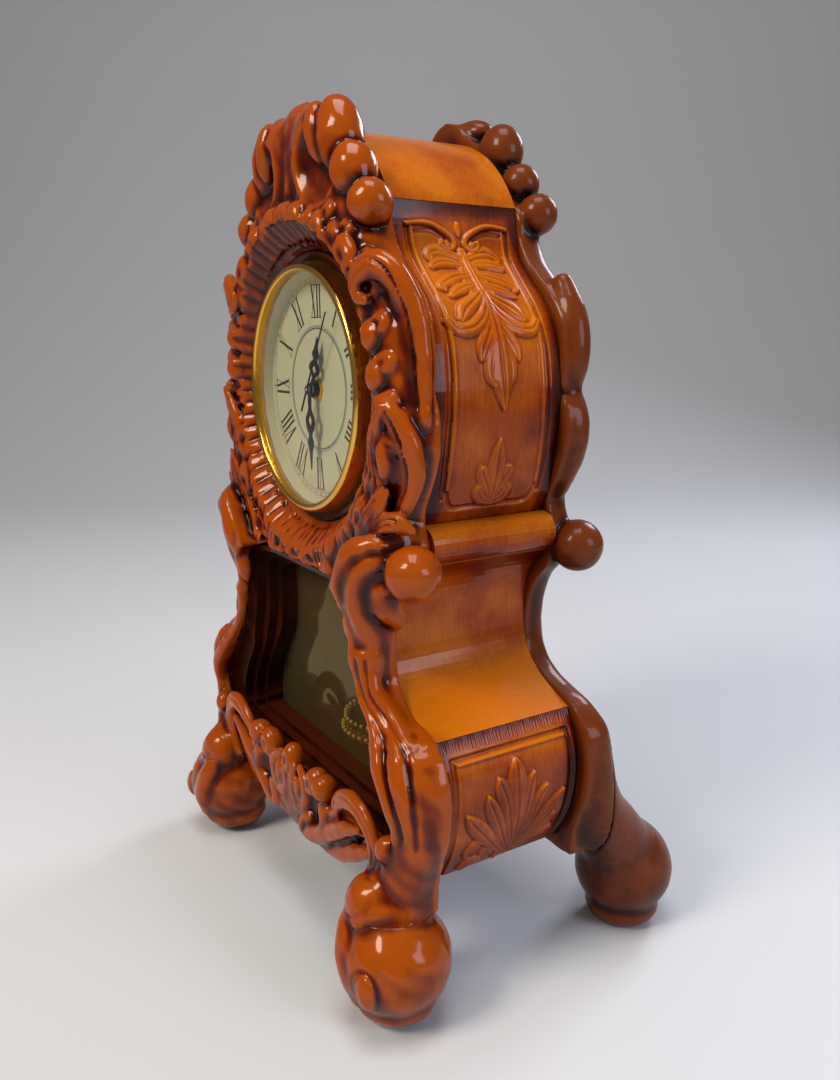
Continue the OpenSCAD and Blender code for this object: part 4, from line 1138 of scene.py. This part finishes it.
    def carve_apron(self, clay: Clay) -> None:
        """Carves the lips, loop, bead and arch under the window."""
        for x, z, radius in ((36, 88, 8), (72, 98, 8), (92, 100, 8)):
            clay.cut(Ball((x, -98, z), (radius, 8.0, radius * 1.5)), 5.0)
        for rows in (((0, -90, 47, 6.0), (14, -91, 50, 6.2), (34, -91, 62, 6.0), (52, -91, 67, 5.6),
                      (68, -91, 72, 5.6), (84, -90, 80, 5.4), (100, -89, 88, 3.4)),
                     ((30, -94, 79, 2.2), (23, -95, 74, 4.0), (24, -95, 65, 5.0), (36, -95, 70, 5.4),
                      (52, -95, 78, 5.6), (66, -95, 87, 5.4), (80, -95, 95, 4.8), (96, -94, 102, 2.4))):
            clay.press(Roll(self.sunk(rows), 0.7), 4.0)
        self.band(clay, ((62, -92, 94, 3.4), (69, -94, 107, 5.4), (82, -95, 115, 6.6), (96, -95, 116, 6.6),
                         (107, -94, 108, 6.2), (112, -93, 96, 5.6), (109, -92, 83, 4.8), (102, -90, 71, 3.0)),
                  0.6, (0.3,), 0.9, 3.0)
        clay.press(Ball((50, -92, 108), (8.5, 8.5, 8.5)), 2.0)
        clay.press(Roll(self.sunk(((50, -93, 100, 4.6), (53, -94, 88, 5.4), (55, -92, 75, 3.4))), 0.7), 4.0)
        loop = ((15, -93, 106, 3.2), (24, -94, 100, 3.8), (25, -94, 89, 3.8), (17, -93, 80, 3.4),
                (8, -93, 84, 3.4), (5, -94, 95, 3.6), (8, -94, 104, 3.2))
        clay.press(Roll(self.sunk(loop), 0.7), 4.0)
        clay.press(Ball((15, -91, 92), (6, 5, 9)), 1.0)
        for x, z, width, lean in ((0, 107, 8, 0), (35, 105, 8, 30)):
            clay.press(Ball((x, -90, z), (width, 8, 11), lean), 2.5)
            clay.cut(Ball((x, -98.5, z), (width * 0.5, 3.0, 6), lean), 1.5)
        clay.cut(Ball((125, -96, 103), (10, 5, 12)), 2.0)
        clay.press(Ball((125, -91, 104), (6.5, 7, 8)), 1.0)

    def carve_foot(self, clay: Clay) -> None:
        """Presses the ball foot, its hooded collar, the strap down its inner side and the oval boss."""
        x, y, z = self.foot
        ankle = ((136, -80, 108, 10), (132, -82, 92, 11), (128, -84, 76, 13), (126, -86, 62, 18))
        clay.press(Roll(ankle), 8.0)
        clay.press(Ball((x, y, z + 1), (self.foot_r,) * 3), 4.0)
        clay.press(Ball((x - 2, y + 1, 14), (24, 24, 14.5)), 4.0)
        clay.press(Ball((118, -98, 70), (16, 14, 16), 24), 8.0)
        strap = ((112, -105, 66, 5.0), (113, -110, 56, 7.0), (116, -113, 46, 7.5), (120, -114, 34, 7.0),
                 (124, -111, 20, 5.0))
        clay.press(Roll(strap, 0.8), 4.0)
        lip = ((122, -110, 64, 1.6), (127, -108, 67, 2.2), (131, -102, 71, 2.6), (133, -94, 73, 2.6),
               (135, -84, 74, 2.2), (136, -74, 73, 1.6))
        clay.press(Roll(lip), 4.0)
        # The boss stands on the outer side, with a groove round it that follows the ball
        ball = self.foot_r + 1.5
        bx, by, bz = 141, -113.5, 35
        clay.press(Ball((bx, by, bz), (7.5, 6.0, 11.0)), 1.0)
        rim = []
        for i in range(13):
            px = bx + 8.5 * math.sin(i * math.pi / 6)
            pz = bz + 12 * math.cos(i * math.pi / 6)
            rim.append((px, y - math.sqrt(ball ** 2 - (px - x) ** 2 - (pz - z) ** 2) + 0.6, pz, 1.3))
        clay.cut(Roll(tuple(rim)), 0.8)


@dataclass(frozen=True)
class RearFrame:
    """The rear frame with its sweeping legs and ball feet, carved plainer than the front."""

    face: float = REAR_SEAM
    back: float = 50.5
    sweep_top: float = 54.0
    sweep_room: float = 150.0
    foot: Point = (128.0, 87.5, 37.0)
    foot_r: float = 31.5
    door: tuple[float, float, float] = (50.0, 118.0, 416.0)

    def build(self, finishes: Finishes) -> None:
        """Carves the block, parts it into frame and feet, and dresses them."""
        step = 1.5
        clay = Clay((0.0, 24.0, -3.0), (168.0, 123.0, 525.0), step)
        clay.press(Plate(frame_outline(0.0), self.face, self.back, soft_front=1.0, soft_back=13.0), 0.5)
        for at, radii in (((42, 44, 489), (15, 13, 16)), ((60, 45, 468), (12, 11.5, 12)),
                          ((77, 45, 449), (12, 11.5, 12)), ((12, 44, 503.5), (17, 11, 9)),
                          ((119, 46.5, 257), (15.5, 15.5, 15.5))):
            clay.press(Ball(at, radii), 2.5)
        clay.press(Roll(((106, 41, 408, 6), (115, 41, 388, 9), (117, 41, 366, 9), (113, 41, 350, 6))), 4.0)
        clay.press(Roll(((112, 41, 346, 6), (118, 41, 332, 9), (117, 41, 312, 8), (108, 41, 292, 5))), 4.0)
        clay.cut(Roll(((118, 30, 348, 2.2), (128, 40, 346, 2.4), (126, 56, 348, 2.2))), 3.0)
        clay.press(Roll(((140, 41, 144, 11), (141, 44, 118, 14), (138, 52, 94, 17), (134, 66, 74, 20),
                         (130, 80, 52, 24))), 8.0)
        x, y, z = self.foot
        clay.press(Ball((x, y, z), (self.foot_r,) * 3), 6.0)
        clay.press(Ball((x, y, 11), (24, 24, 14)), 3.0)
        gx, gy, gz = clay.grid()
        wide, low, high = self.door
        door = np.maximum(np.maximum(gx - wide, low - gz), gz - high)
        clay.field = -smooth_min(-clay.field, np.maximum(door, gy - self.back - 20), 1.0)
        # Shallower tool marks than in front
        clay.field += 0.12 * np.sin(gx / 3.4 + 1.7 * np.sin(gz / 8.3)) * np.sin(gz / 4.1 + gy / 4.6)
        clay.field = np.maximum(np.maximum(clay.field, self.face - gy), -gz)
        # The frame keeps what lies before its back or above the sweeping legs; the rest is the feet
        inside = np.minimum(np.maximum(gy - self.back, self.sweep_top - gz), self.sweep_room - gz)
        dress(clay.skin("carved_rear_frame", inside), finishes.rear, "rear_wood", "case", "rear_frame")
        skin_feet(clay, -inside, End.REAR, finishes.rear, "rear_wood")


@dataclass(frozen=True)
class Stroke:
    """A raised or sunk mark on a panel, along u (depth) and v (height) with its half width."""

    path: tuple
    rise: float
    vein: float = 0.0
    spread: float = 1.25

    def raise_on(self, u: np.ndarray, v: np.ndarray, relief: np.ndarray) -> None:
        """Adds the mark to a relief.

        Args:
            u: Places across the panel, one a column.
            v: Places down the panel, one a row.
            relief: Heights in millimetres, changed in place.
        """
        rows = smooth_path(self.path, 6)
        mark = np.zeros_like(relief)
        groove = np.zeros_like(relief)
        for (au, av, ar), (bu, bv, br) in zip(rows[:-1], rows[1:]):
            room = max(ar, br) * self.spread + 3
            ju = np.where((u > min(au, bu) - room) & (u < max(au, bu) + room))[0]
            iv = np.where((v > min(av, bv) - room) & (v < max(av, bv) + room))[0]
            if not len(ju) or not len(iv):
                continue
            part = np.s_[iv[0]:iv[-1] + 1, ju[0]:ju[-1] + 1]
            pu, pv = u[None, ju], v[iv, None]
            eu, ev = bu - au, bv - av
            t = np.clip(((pu - au) * eu + (pv - av) * ev) / max(eu * eu + ev * ev, 1e-6), 0, 1)
            gap = np.hypot(pu - au - t * eu, pv - av - t * ev)
            wide = (ar + t * (br - ar)) * self.spread
            mark[part] = np.maximum(mark[part], np.sqrt(np.clip(1 - (gap / wide) ** 2, 0, 1)))
            groove[part] = np.maximum(groove[part], np.clip(1 - gap / np.maximum(wide * 0.25, 0.5), 0, 1))
        if self.rise > 0:
            np.maximum(relief, self.rise * mark - self.vein * groove, out=relief, where=mark > 0)
        else:
            np.minimum(relief, self.rise * mark, out=relief, where=mark > 0)


def both_ways(strokes: Sequence[Stroke], middle: float) -> list[Stroke]:
    """Repeats strokes mirrored about an upright line of the panel."""
    return [*strokes, *(replace(s, path=tuple((2 * middle - u, *rest) for u, *rest in s.path))
                        for s in strokes)]


def fuller(strokes: Sequence[Stroke], spread: float) -> list[Stroke]:
    """Widens strokes until they meet as one leaf."""
    return [replace(s, spread=spread) for s in strokes]


# The side walls' outer faces as X and Z, from the top down, and below them the marks of their carving
UPPER_LINE = ((74, 452), (76, 438), (80, 424), (91, 411), (104, 397), (114, 380), (118, 361), (119, 340),
              (116, 315), (111, 294), (105, 278))
LOWER_LINE = ((133, 163), (140, 148), (143, 136), (143, 121), (140, 105), (134, 90), (125, 75))


def upper_carving() -> list[Stroke]:
    """Returns the marks of the upper panel: border, two scrolls, a hanging plume and a small leaf."""
    middle = 42.5
    border = [
        Stroke(((9, 15, 1.5), (10, 60, 1.5), (10, 110, 1.9), (9, 150, 2.1), (9, 173, 1.6)), -1.5),
        Stroke(((9, 173, 1.2), (12, 171, 1.2), (14, 176, 1.2), (18, 180, 1.3), (30, 180, 1.3),
                (42.5, 180, 1.2)), -1.2),
        Stroke(((12, 15, 1.0), (13, 60, 1.0), (13, 110, 1.2), (12, 150, 1.2), (12, 168, 1.0)), 0.9),
        Stroke(((9, 13, 1.1), (22, 12, 1.3), (32, 15.5, 1.5), (38, 20, 1.6), (38.5, 24.5, 1.6), (34, 27, 1.5),
                (30, 24, 1.5), (31, 20.5, 1.3)), 1.9),
        Stroke(((33.5, 23, 2.0), (34.5, 24, 2.0)), 1.8),
        Stroke(((14, 17, 1.0), (24, 16, 1.6), (33, 20, 1.0)), -1.0),
    ]
    plume = [
        Stroke(((41, 33, 1.0), (33, 29, 2.0), (25, 28, 2.4), (20, 31, 1.8), (20, 35, 1.0)), 1.8, 0.6),
        Stroke(((41, 38, 1.0), (33, 36, 2.0), (25, 36, 2.3), (19, 39, 1.4)), 1.8, 0.6),
        Stroke(((42, 46, 1.0), (34, 46, 2.0), (26, 49, 2.5), (18, 54, 1.8), (19, 57, 1.0)), 1.9, 0.6),
        Stroke(((42, 52, 1.0), (35, 54, 2.0), (28, 57, 2.2), (22, 61, 1.2)), 1.9, 0.6),
        Stroke(((42, 58, 1.2), (35, 64, 2.4), (27, 70, 3.0), (22, 76, 1.6)), 2.2, 0.8),
        Stroke(((42, 64, 1.2), (37, 74, 2.4), (28, 81, 2.6), (18, 82, 2.2), (13, 77, 1.4)), 2.2, 0.7),
        Stroke(((42, 74, 1.4), (37, 84, 2.6), (32, 92, 2.4), (30, 98, 1.0)), 1.9, 0.7),
        Stroke(((42.5, 84, 1.4), (38, 96, 3.0), (36, 106, 2.6), (38, 112, 1.0)), 2.0, 0.7),
        Stroke(((41, 34, 1.2), (37, 48, 2.0), (38, 62, 2.2), (41, 76, 1.4)), 1.6, 0.5),
    ]
    leaf = [
        Stroke(((42, 176, 1.4), (38, 168, 2.4), (34, 161, 2.4), (33, 158, 1.2)), 1.7, 0.6),
        Stroke(((42, 178, 1.4), (36, 176, 2.2), (33, 171, 2.4), (36, 168, 1.4)), 1.7, 0.5),
    ]
    spine = [
        Stroke(((42.5, 12, 1.2), (42.5, 15, 2.0), (42.5, 18, 1.0)), 1.4),
        Stroke(((42.5, 28, 2.4), (42.5, 31, 3.0)), 2.2),
        Stroke(((42.5, 32, 1.6), (42.5, 55, 2.4), (42.5, 80, 3.4), (43, 100, 6.0), (43.5, 112, 4.8),
                (44, 125, 0.7)), 2.5, 0.9),
        Stroke(((42.5, 178, 2.0), (43, 160, 4.4), (43, 150, 3.4), (43.5, 141, 0.7)), 2.0, 0.8),
    ]
    return [*both_ways([*border, *fuller([*plume, *leaf], 1.9)], middle), *fuller(spine, 1.4)]


def lower_carving() -> list[Stroke]:
    """Returns the marks of the lower panel: border, a rising palmette and two buds."""
    border = [
        Stroke(((-2, 12, 1.4), (20, 12, 1.4), (50, 12, 1.4), (79, 12, 1.4)), -1.4),
        Stroke(((-2, 12, 1.4), (-3, 40, 2.2), (-3, 70, 2.2), (-2, 94, 1.8)), -1.6),
        Stroke(((79, 12, 1.4), (80, 40, 2.2), (80, 70, 2.2), (79, 94, 1.8)), -1.6),
        Stroke(((1, 15, 0.9), (20, 15, 0.9), (50, 15, 0.9), (76, 15, 0.9)), 0.8),
    ]
    lobes = [
        Stroke(((44, 86, 1.6), (41, 60, 3.0), (39, 38, 4.6), (39, 28, 3.6), (38.5, 20, 0.8)), 2.6, 0.9),
        Stroke(((43, 84, 1.4), (37, 62, 2.4), (32, 44, 3.4), (28, 34, 2.8), (26, 29, 0.9)), 2.3, 0.8),
        Stroke(((46, 84, 1.4), (46, 62, 2.4), (47, 44, 3.4), (49, 36, 2.6), (51, 31, 0.9)), 2.3, 0.8),
        Stroke(((42, 86, 1.4), (33, 68, 2.4), (26, 54, 3.2), (21, 44, 2.6), (19, 38, 0.9)), 2.2, 0.8),
        Stroke(((48, 84, 1.4), (51, 66, 2.4), (54, 52, 3.0), (58, 45, 2.4), (61, 41, 0.9)), 2.2, 0.8),
        Stroke(((41, 88, 1.4), (28, 74, 2.6), (18, 62, 3.4), (10, 53, 3.0), (5, 46, 1.0)), 2.2, 0.8),
        Stroke(((49, 86, 1.4), (57, 70, 2.4), (65, 58, 2.8), (71, 52, 2.2), (74, 48, 0.9)), 2.1, 0.8),
        Stroke(((50, 88, 1.4), (58, 78, 2.2), (65, 70, 2.4), (70, 64, 1.0)), 1.9, 0.7),
        Stroke(((34, 90, 1.4), (34, 76, 1.8), (25, 68, 2.0), (14, 68, 2.2), (9, 74, 1.6),
                (11, 79, 1.0)), 1.9, 0.5),
        Stroke(((30, 84, 1.0), (28, 78, 1.8), (23, 77, 1.8), (21, 81, 1.0)), 1.3),
        Stroke(((20, 84, 1.6), (15, 86, 3.2), (10, 89, 1.8)), 2.2),
        Stroke(((62, 80, 1.8), (66, 77, 3.4), (70, 76, 1.6)), 2.2),
    ]
    return [*border, *fuller(lobes, 1.7)]


@dataclass(frozen=True)
class SidePanel:
    """A bowed side wall with its carving raised as real relief.

    The ends are its front and back in Y, and comb is how strongly its top edge is combed.
    """

    name: str
    line: tuple
    ends: tuple[float, float]
    carving: tuple
    comb: float
    wall: float = 12.0
    seam: float = FRONT_SEAM
    step: float = 0.5
    rim_width: float = 11.0
    comb_width: float = 9.0
    shade_share: float = 0.16

    def build(self, side: Side, finishes: Finishes) -> None:
        """Makes the panel for one side of the case.

        Args:
            side: The side.
            finishes: The clock's materials.
        """
        line = smooth_path(self.line, 4)
        arc = np.concatenate([[0], np.cumsum(np.hypot(*np.diff(line, axis=0).T))])
        step = self.step * 1
        v = np.linspace(0, arc[-1], int(arc[-1] / step) + 1)
        u = np.linspace(self.ends[0], self.ends[1], int((self.ends[1] - self.ends[0]) / step) + 1) - self.seam
        x, z = np.interp(v, arc, line[:, 0]), np.interp(v, arc, line[:, 1])
        # The slopes are averaged over nine rows, so that the relief stands square on a smooth bow
        kernel = np.ones(9) / 9
        dx, dz = (np.convolve(np.pad(np.gradient(a), 4, mode="edge"), kernel, "valid") for a in (x, z))
        long = np.hypot(dx, dz)
        nx, nz = -dz / long, dx / long
        relief = np.zeros((len(v), len(u)))
        for stroke in self.carving:
            stroke.raise_on(u, v, relief)
        relief = blurred(relief, 1)
        border = np.minimum(np.minimum(u - u[0], u[-1] - u)[None, :], v[:, None])
        rim = np.clip(1 - border / self.rim_width, 0, 1)
        # Sunk relief is darkened as pooled stain and painted shade, raised relief lightened as wear and
        # painted highlight, and the tone darkens towards the border
        shade = blurred(relief, 6) - relief + 0.75 * rim
        teeth = np.sin(u * 3.6 + 2 * np.sin(u * 0.7))[None, :]
        comb = self.comb * np.clip(1 - v / self.comb_width, 0, 1)[:, None] * teeth
        rise = relief + 0.25 * comb
        outer = np.stack([x[:, None] + nx[:, None] * rise,
                          np.broadcast_to((u + self.seam)[None, :], relief.shape),
                          z[:, None] + nz[:, None] * rise], axis=2).reshape(-1, 3)
        self.close(side, finishes, outer, shade, np.stack([x - self.wall, z], axis=1))

    def close(self, side: Side, finishes: Finishes, outer: np.ndarray, shade: np.ndarray,
              line_in: np.ndarray) -> None:
        """Closes the outer face with edges and an inner face, and dresses the panel.

        Args:
            side: The side of the case.
            finishes: The clock's materials.
            outer: The outer face's vertices, row by row.
            shade: How much each vertex is darkened, or lightened below zero, in the outer face's rows and
                columns: darker where the relief sinks, as pooled stain and painted shade, lighter where it
                stands, as wear and painted highlight, and darker towards the border.
            line_in: The inner face's profile.
        """
        rows, columns = shade.shape
        index = np.arange(rows * columns).reshape(shade.shape)
        faces = [tuple(q) for q in np.stack([index[:-1, :-1], index[:-1, 1:], index[1:, 1:], index[1:, :-1]],
                                            axis=2).reshape(-1, 4)]
        front, back = self.ends
        inner = np.vstack([np.insert(line_in, 1, front, axis=1), np.insert(line_in, 1, back, axis=1)])
        near = rows * columns
        far = near + rows
        for i in range(rows - 1):
            faces.append((near + i, near + i + 1, far + i + 1, far + i))
            faces.append((index[i, 0], index[i + 1, 0], near + i + 1, near + i))
            faces.append((index[i, -1], far + i, far + i + 1, index[i + 1, -1]))
        faces.append((*index[0, ::-1], near, far))
        faces.append((*index[-1, :], far + rows - 1, near + rows - 1))
        points = np.vstack([outer, inner]) * MM
        points[:, 0] *= side.value
        if side is Side.LEFT:
            faces = [tuple(reversed(f)) for f in faces]
        word = side.name.lower()
        node = f"{self.name}_{word}_side"
        obj = mesh_object(f"relief_{node}", points, faces)
        values = np.concatenate([shade.ravel() * self.shade_share, np.zeros(len(inner))]).astype(np.float32)
        for label, _ in SHADES:
            obj.data.attributes.new(label, "FLOAT", "POINT").data.foreach_set("value", values)
        dress(obj, finishes.panel, "side_wood", "case", node)


def blurred(block: np.ndarray, passes: int) -> np.ndarray:
    """Softens a relief with a small kernel, several times."""
    for _ in range(passes):
        wide = np.pad(block, 1, mode="edge")
        across, along = wide[1:-1], wide[:, 1:-1]
        block = (wide[1:-1, 1:-1] * 4 + along[:-2] + along[2:] + across[:, :-2] + across[:, 2:]) / 8
    return block


class Sheet:
    """Collects thin raised marks for the dial, laid out in its plane."""

    def __init__(self, y: float, thick: float) -> None:
        """Starts an empty sheet at a depth, with marks of one thickness."""
        self.y = y
        self.thick = thick
        self.points: list[tuple[float, float, float]] = []
        self.faces: list[tuple[int, ...]] = []

    def mark(self, outline: Sequence[tuple[float, float]]) -> None:
        """Adds one closed mark from its outline in X and Z."""
        start, count = len(self.points), len(outline)
        for y in (self.y - self.thick, self.y):
            self.points += [(x * MM, y * MM, (z + DIAL_Z) * MM) for x, z in outline]
        self.faces.append(tuple(range(start, start + count)))
        self.faces.append(tuple(range(start + 2 * count - 1, start + count - 1, -1)))
        for i in range(count):
            j = (i + 1) % count
            self.faces.append((start + j, start + i, start + count + i, start + count + j))

    def radial(self, angle: float, marks: Sequence[Sequence[tuple[float, float]]]) -> None:
        """Adds marks given along and across a radius.

        Args:
            angle: The radius's angle in degrees, clockwise from the top as seen from the front.
            marks: Outlines of points (across, along).
        """
        c, s = math.cos(math.radians(angle)), math.sin(math.radians(angle))
        for outline in marks:
            self.mark([(a * c + r * s, r * c - a * s) for a, r in outline])

    def ring(self, inner: float, outer: float, count: int = 96) -> None:
        """Adds a flat ring as short closed pieces."""
        for i in range(count):
            a, b = (2 * math.pi * k / count for k in (i, i + 1))
            corners = ((inner, a), (outer, a), (outer, b), (inner, b))
            self.mark([(r * math.sin(t), r * math.cos(t)) for r, t in corners])

    def build(self, name: str) -> bpy.types.Object:
        """Makes the object."""
        obj = mesh_object(name, np.array(self.points), self.faces)
        obj.data.polygons.foreach_set("use_smooth", np.zeros(len(obj.data.polygons), bool))
        return obj


@dataclass(frozen=True)
class Dial:
    """The printed dial: numerals, minute track and the ring round its engraved middle."""

    face: float = -63.8
    foot: float = 43.0
    head: float = 63.0
    track: float = 65.0
    track_width: float = 2.0
    middle: float = 36.5
    serif: float = 0.5
    gap: float = 0.4

    def letter(self, kind: Letter, left: float) -> tuple[list[list[tuple[float, float]]], float]:
        """Draws one letter of a numeral.

        Args:
            kind: The letter.
            left: Where its left edge stands.

        Returns:
            The letter's outlines and how far the next one stands from it.
        """
        width, bars = kind.value
        low, high = self.foot, self.head
        marks = [[(left + a, low), (left + b, low), (left + d, high), (left + c, high)]
                 for a, b, c, d in bars]
        for start in (high - self.serif,) if kind is Letter.V else (low, high - self.serif):
            end = start + self.serif
            marks.append([(left, start), (left + width, start), (left + width, end), (left, end)])
        return marks, width + self.gap

    def build(self, finishes: Finishes) -> None:
        """Makes the numerals, the tracks and the middle ring."""
        sheet = Sheet(self.face - 0.01, 0.05)
        words = ("XII", "I", "II", "III", "IIII", "V", "VI", "VII", "VIII", "IX", "X", "XI")
        for hour, word in enumerate(words):
            width = sum(self.letter(Letter[k], 0)[1] for k in word) - self.gap
            left = -width / 2
            for kind in word:
                marks, step = self.letter(Letter[kind], left)
                sheet.radial(hour * 30, marks)
                left += step
        for minute in range(60):
            half = 0.45 if minute % 5 == 0 else 0.16
            end = self.track + self.track_width
            sheet.radial(minute * 6, [[(-half, self.track), (half, self.track), (half, end), (-half, end)]])
        sheet.ring(self.track - 0.7, self.track - 0.5)
        sheet.ring(self.track + 2.2, self.track + 2.4)
        dress(sheet.build("dial_numerals"), finishes.paint, "black_steel", "case")
        rings = Sheet(self.face - 0.01, 0.12)
        rings.ring(self.middle, self.middle + 1.0)
        rings.ring(self.middle + 1.8, self.middle + 2.2)
        dress(rings.build("dial_middle_ring"), finishes.steel, "silvered_plate", "case")


@dataclass(frozen=True)
class Lathe:
    """A ring about the dial's axis, turned from a profile of radius and depth.

    Dents is how deep it is hammered, polished is how many of the profile's first stretches are its lip, and
    smooth_rim is how far behind its front the dents begin.
    """

    name: str
    profile: tuple
    dents: float = 0.0
    polished: int = 0
    smooth_rim: float = 2.2

    def build(self, side: bpy.types.Material, lip: bpy.types.Material, *nodes: str) -> None:
        """Makes the ring.

        Args:
            side: Its material.
            lip: The material of the profile's first points.
            *nodes: The construction nodes that it replaces.
        """
        count = 288
        turn = np.arange(count) * 2 * math.pi / count
        line = np.array(self.profile, np.float64)
        rows = np.arange(len(line))[None, :]
        dent = self.dents * np.sin(turn[:, None] * 71 + rows * 2.1) * np.sin(turn[:, None] * 43 + rows * 1.3)
        reach = line[None, :, 0] + dent * (line[None, :, 1] > line[:, 1].min() + self.smooth_rim)
        points = np.stack([reach * np.sin(turn)[:, None], np.broadcast_to(line[None, :, 1], reach.shape),
                           reach * np.cos(turn)[:, None] + DIAL_Z], axis=2).reshape(-1, 3)
        index = np.arange(count * len(line)).reshape(count, len(line))
        after, along = np.roll(index, -1, axis=0), np.roll(index, -1, axis=1)
        both = np.roll(after, -1, axis=1)
        faces = np.stack([index, along, both, after], axis=2).reshape(-1, 4)
        obj = mesh_object(self.name, points * MM, faces)
        dress(obj, side, "polished_brass", "case", *nodes)
        obj.data.materials.append(lip)
        bright = np.broadcast_to((np.arange(len(line)) < self.polished)[None, :], index.shape)
        obj.data.polygons.foreach_set("material_index", bright.ravel().astype(np.int32))


# The bezel's profile as radius and depth, round from its polished lip
BEZEL = (
    (70.2, -76.6), (70.8, -77.5), (72.2, -77.9), (73.6, -77.7), (74.6, -77.0), (75.0, -76.2), (75.2, -75.2),
    (75.4, -74.0), (75.6, -72.4), (75.8, -70.8), (76.0, -69.2), (76.2, -67.6), (76.4, -66.0), (76.6, -64.4),
    (76.6, -63.2), (74.0, -63.2), (72.0, -66.0), (71.0, -70.0), (70.4, -74.0))


@dataclass(frozen=True)
class Studio:
    """The camera, the floor and the soft lights.

    The sheet's sizes are in metres: it lies flat from its near end, bends up and then stands as a backdrop.
    """

    place: Point = (516.7, -314.6, 377.0)
    azimuth: float = 57.84
    pitch: float = 12.4
    roll: float = -0.33
    focal: float = 907.3
    photo_height: float = 1080.0
    sensor: float = 36.0
    sheet_near: float = -4.0
    sheet_half: float = 6.0
    sheet_top: float = 5.0
    bend_start: float = 1.5
    bend_radius: float = 1.5

    def build(self) -> None:
        """Sets the camera, the floor and the lights."""
        self.camera()
        self.floor()
        # Each softbox's place, what it points at, its size, its power and its tint
        self.light("key_softbox", (0.2, -1.5, 1.5), (0.0, -0.05, 0.25), 0.6, 24.0, "#fff2e2")
        self.light("side_softbox", (1.7, 0.6, 0.8), (0.05, 0.0, 0.25), 0.8, 12.0, "#dfe6ff")
        self.light("back_strip", (-0.4, 1.6, 1.3), (0.0, 0.0, 0.3), 0.6, 14.0, "#e6eaff")
        self.light("top_softbox", (0.3, -0.2, 2.2), (0.0, 0.0, 0.2), 1.0, 20.0, "#ffffff")
        world = bpy.data.worlds.new("studio")
        bpy.context.scene.world = world
        world.use_nodes = True
        tree = world.node_tree
        tree.nodes.clear()
        air = add_node(tree, "ShaderNodeBackground", {"Color": linear("#e9ebee"), "Strength": 0.2})
        add_node(tree, "ShaderNodeOutputWorld", {"Surface": air.outputs["Background"]})
        bpy.context.scene.view_settings.view_transform = "Standard"

    def camera(self) -> None:
        """Places the camera where the photograph was taken."""
        data = bpy.data.cameras.new("photo_view")
        data.sensor_width = self.sensor
        data.lens = self.focal / self.photo_height * self.sensor
        data.clip_start = 0.01
        cam = bpy.data.objects.new("photo_view", data)
        link(cam)
        a, e, r = (math.radians(v) for v in (self.azimuth, self.pitch, self.roll))
        ahead = Vector((-math.sin(a) * math.cos(e), math.cos(a) * math.cos(e), -math.sin(e)))
        level = Vector((math.cos(a), math.sin(a), 0))
        above = level.cross(ahead)
        right = level * math.cos(r) + above * math.sin(r)
        up = right.cross(ahead)
        turn = Matrix((right, up, -ahead)).transposed()
        cam.matrix_world = Matrix.Translation(Vector(self.place) * MM) @ turn.to_4x4()
        bpy.context.scene.camera = cam

    def floor(self) -> None:
        """Lays a pale floor that curves up into a backdrop."""
        rows = 40
        line = []
        for i in range(rows):
            t = i / (rows - 1)
            if t < 0.5:
                line.append((self.sheet_near + (self.bend_start - self.sheet_near) * t * 2, 0.0))
            else:
                turned = (t - 0.5) * math.pi
                line.append((self.bend_start + self.bend_radius * math.sin(turned),
                             self.bend_radius * (1 - math.cos(turned))))
        line.append((self.bend_start + self.bend_radius, self.sheet_top))
        turn = Matrix.Rotation(math.radians(self.azimuth), 3, "Z")
        points, faces = [], []
        for y, z in line:
            for x in (-self.sheet_half, self.sheet_half):
                points.append(turn @ Vector((x, y, z)))
        for i in range(len(line) - 1):
            faces.append((2 * i, 2 * i + 1, 2 * i + 3, 2 * i + 2))
        obj = mesh_object("studio_floor", np.array([tuple(p) for p in points]), faces)
        made, tree, shader = new_material("pale_matte_card")
        place = add_node(tree, "ShaderNodeTexCoord").outputs["Object"]
        # Matte card: its gloss drifts a little, so the ground doesn't look like a plain fill
        cloud = add_node(tree, "ShaderNodeTexNoise", {
            "Vector": place, "Scale": repeats(166.7), "Detail": 6.0})
        rough = add_node(tree, "ShaderNodeMapRange", {
            "Value": cloud.outputs["Fac"], "To Min": 0.5, "To Max": 0.7})
        tree.links.new(rough.outputs["Result"], shader.inputs["Roughness"])
        shader.inputs["Base Color"].default_value = linear("#d8d9da")
        obj.data.materials.append(made)

    def light(self, name: str, place: Point, target: Point, size: float, power: float, tint: str) -> None:
        """Adds one softbox.

        Args:
            name: The light's name.
            place: Where it hangs, in metres.
            target: What it points at.
            size: Side of the square box.
            power: Its power in watts.
            tint: Its colour.
        """
        data = bpy.data.lights.new(name, "AREA")
        data.size = size
        data.energy = power
        data.color = linear(tint)[:3]
        obj = bpy.data.objects.new(name, data)
        obj.location = place
        obj.rotation_euler = (Vector(target) - Vector(place)).to_track_quat("-Z", "Y").to_euler()
        link(obj)


def main() -> None:
    """Builds the pieces in order, then the studio."""
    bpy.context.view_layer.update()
    finishes = Finishes()
    finishes.dress_nodes()
    FrontFrame().build(finishes)
    RearFrame().build(finishes)
    upper = SidePanel("upper", UPPER_LINE, (FRONT_SEAM, REAR_SEAM), tuple(upper_carving()), 0.0)
    lower = SidePanel("lower", LOWER_LINE, (LEG_SEAM, REAR_SEAM), tuple(lower_carving()), 1.0)
    for side in Side:
        upper.build(side, finishes)
        lower.build(side, finishes)
    Dial().build(finishes)
    Lathe("hammered_bezel", BEZEL, 0.12, 6).build(finishes.hammered, finishes.brass, "bezel")
    Studio().build()


if __name__ == "__main__":
    main()
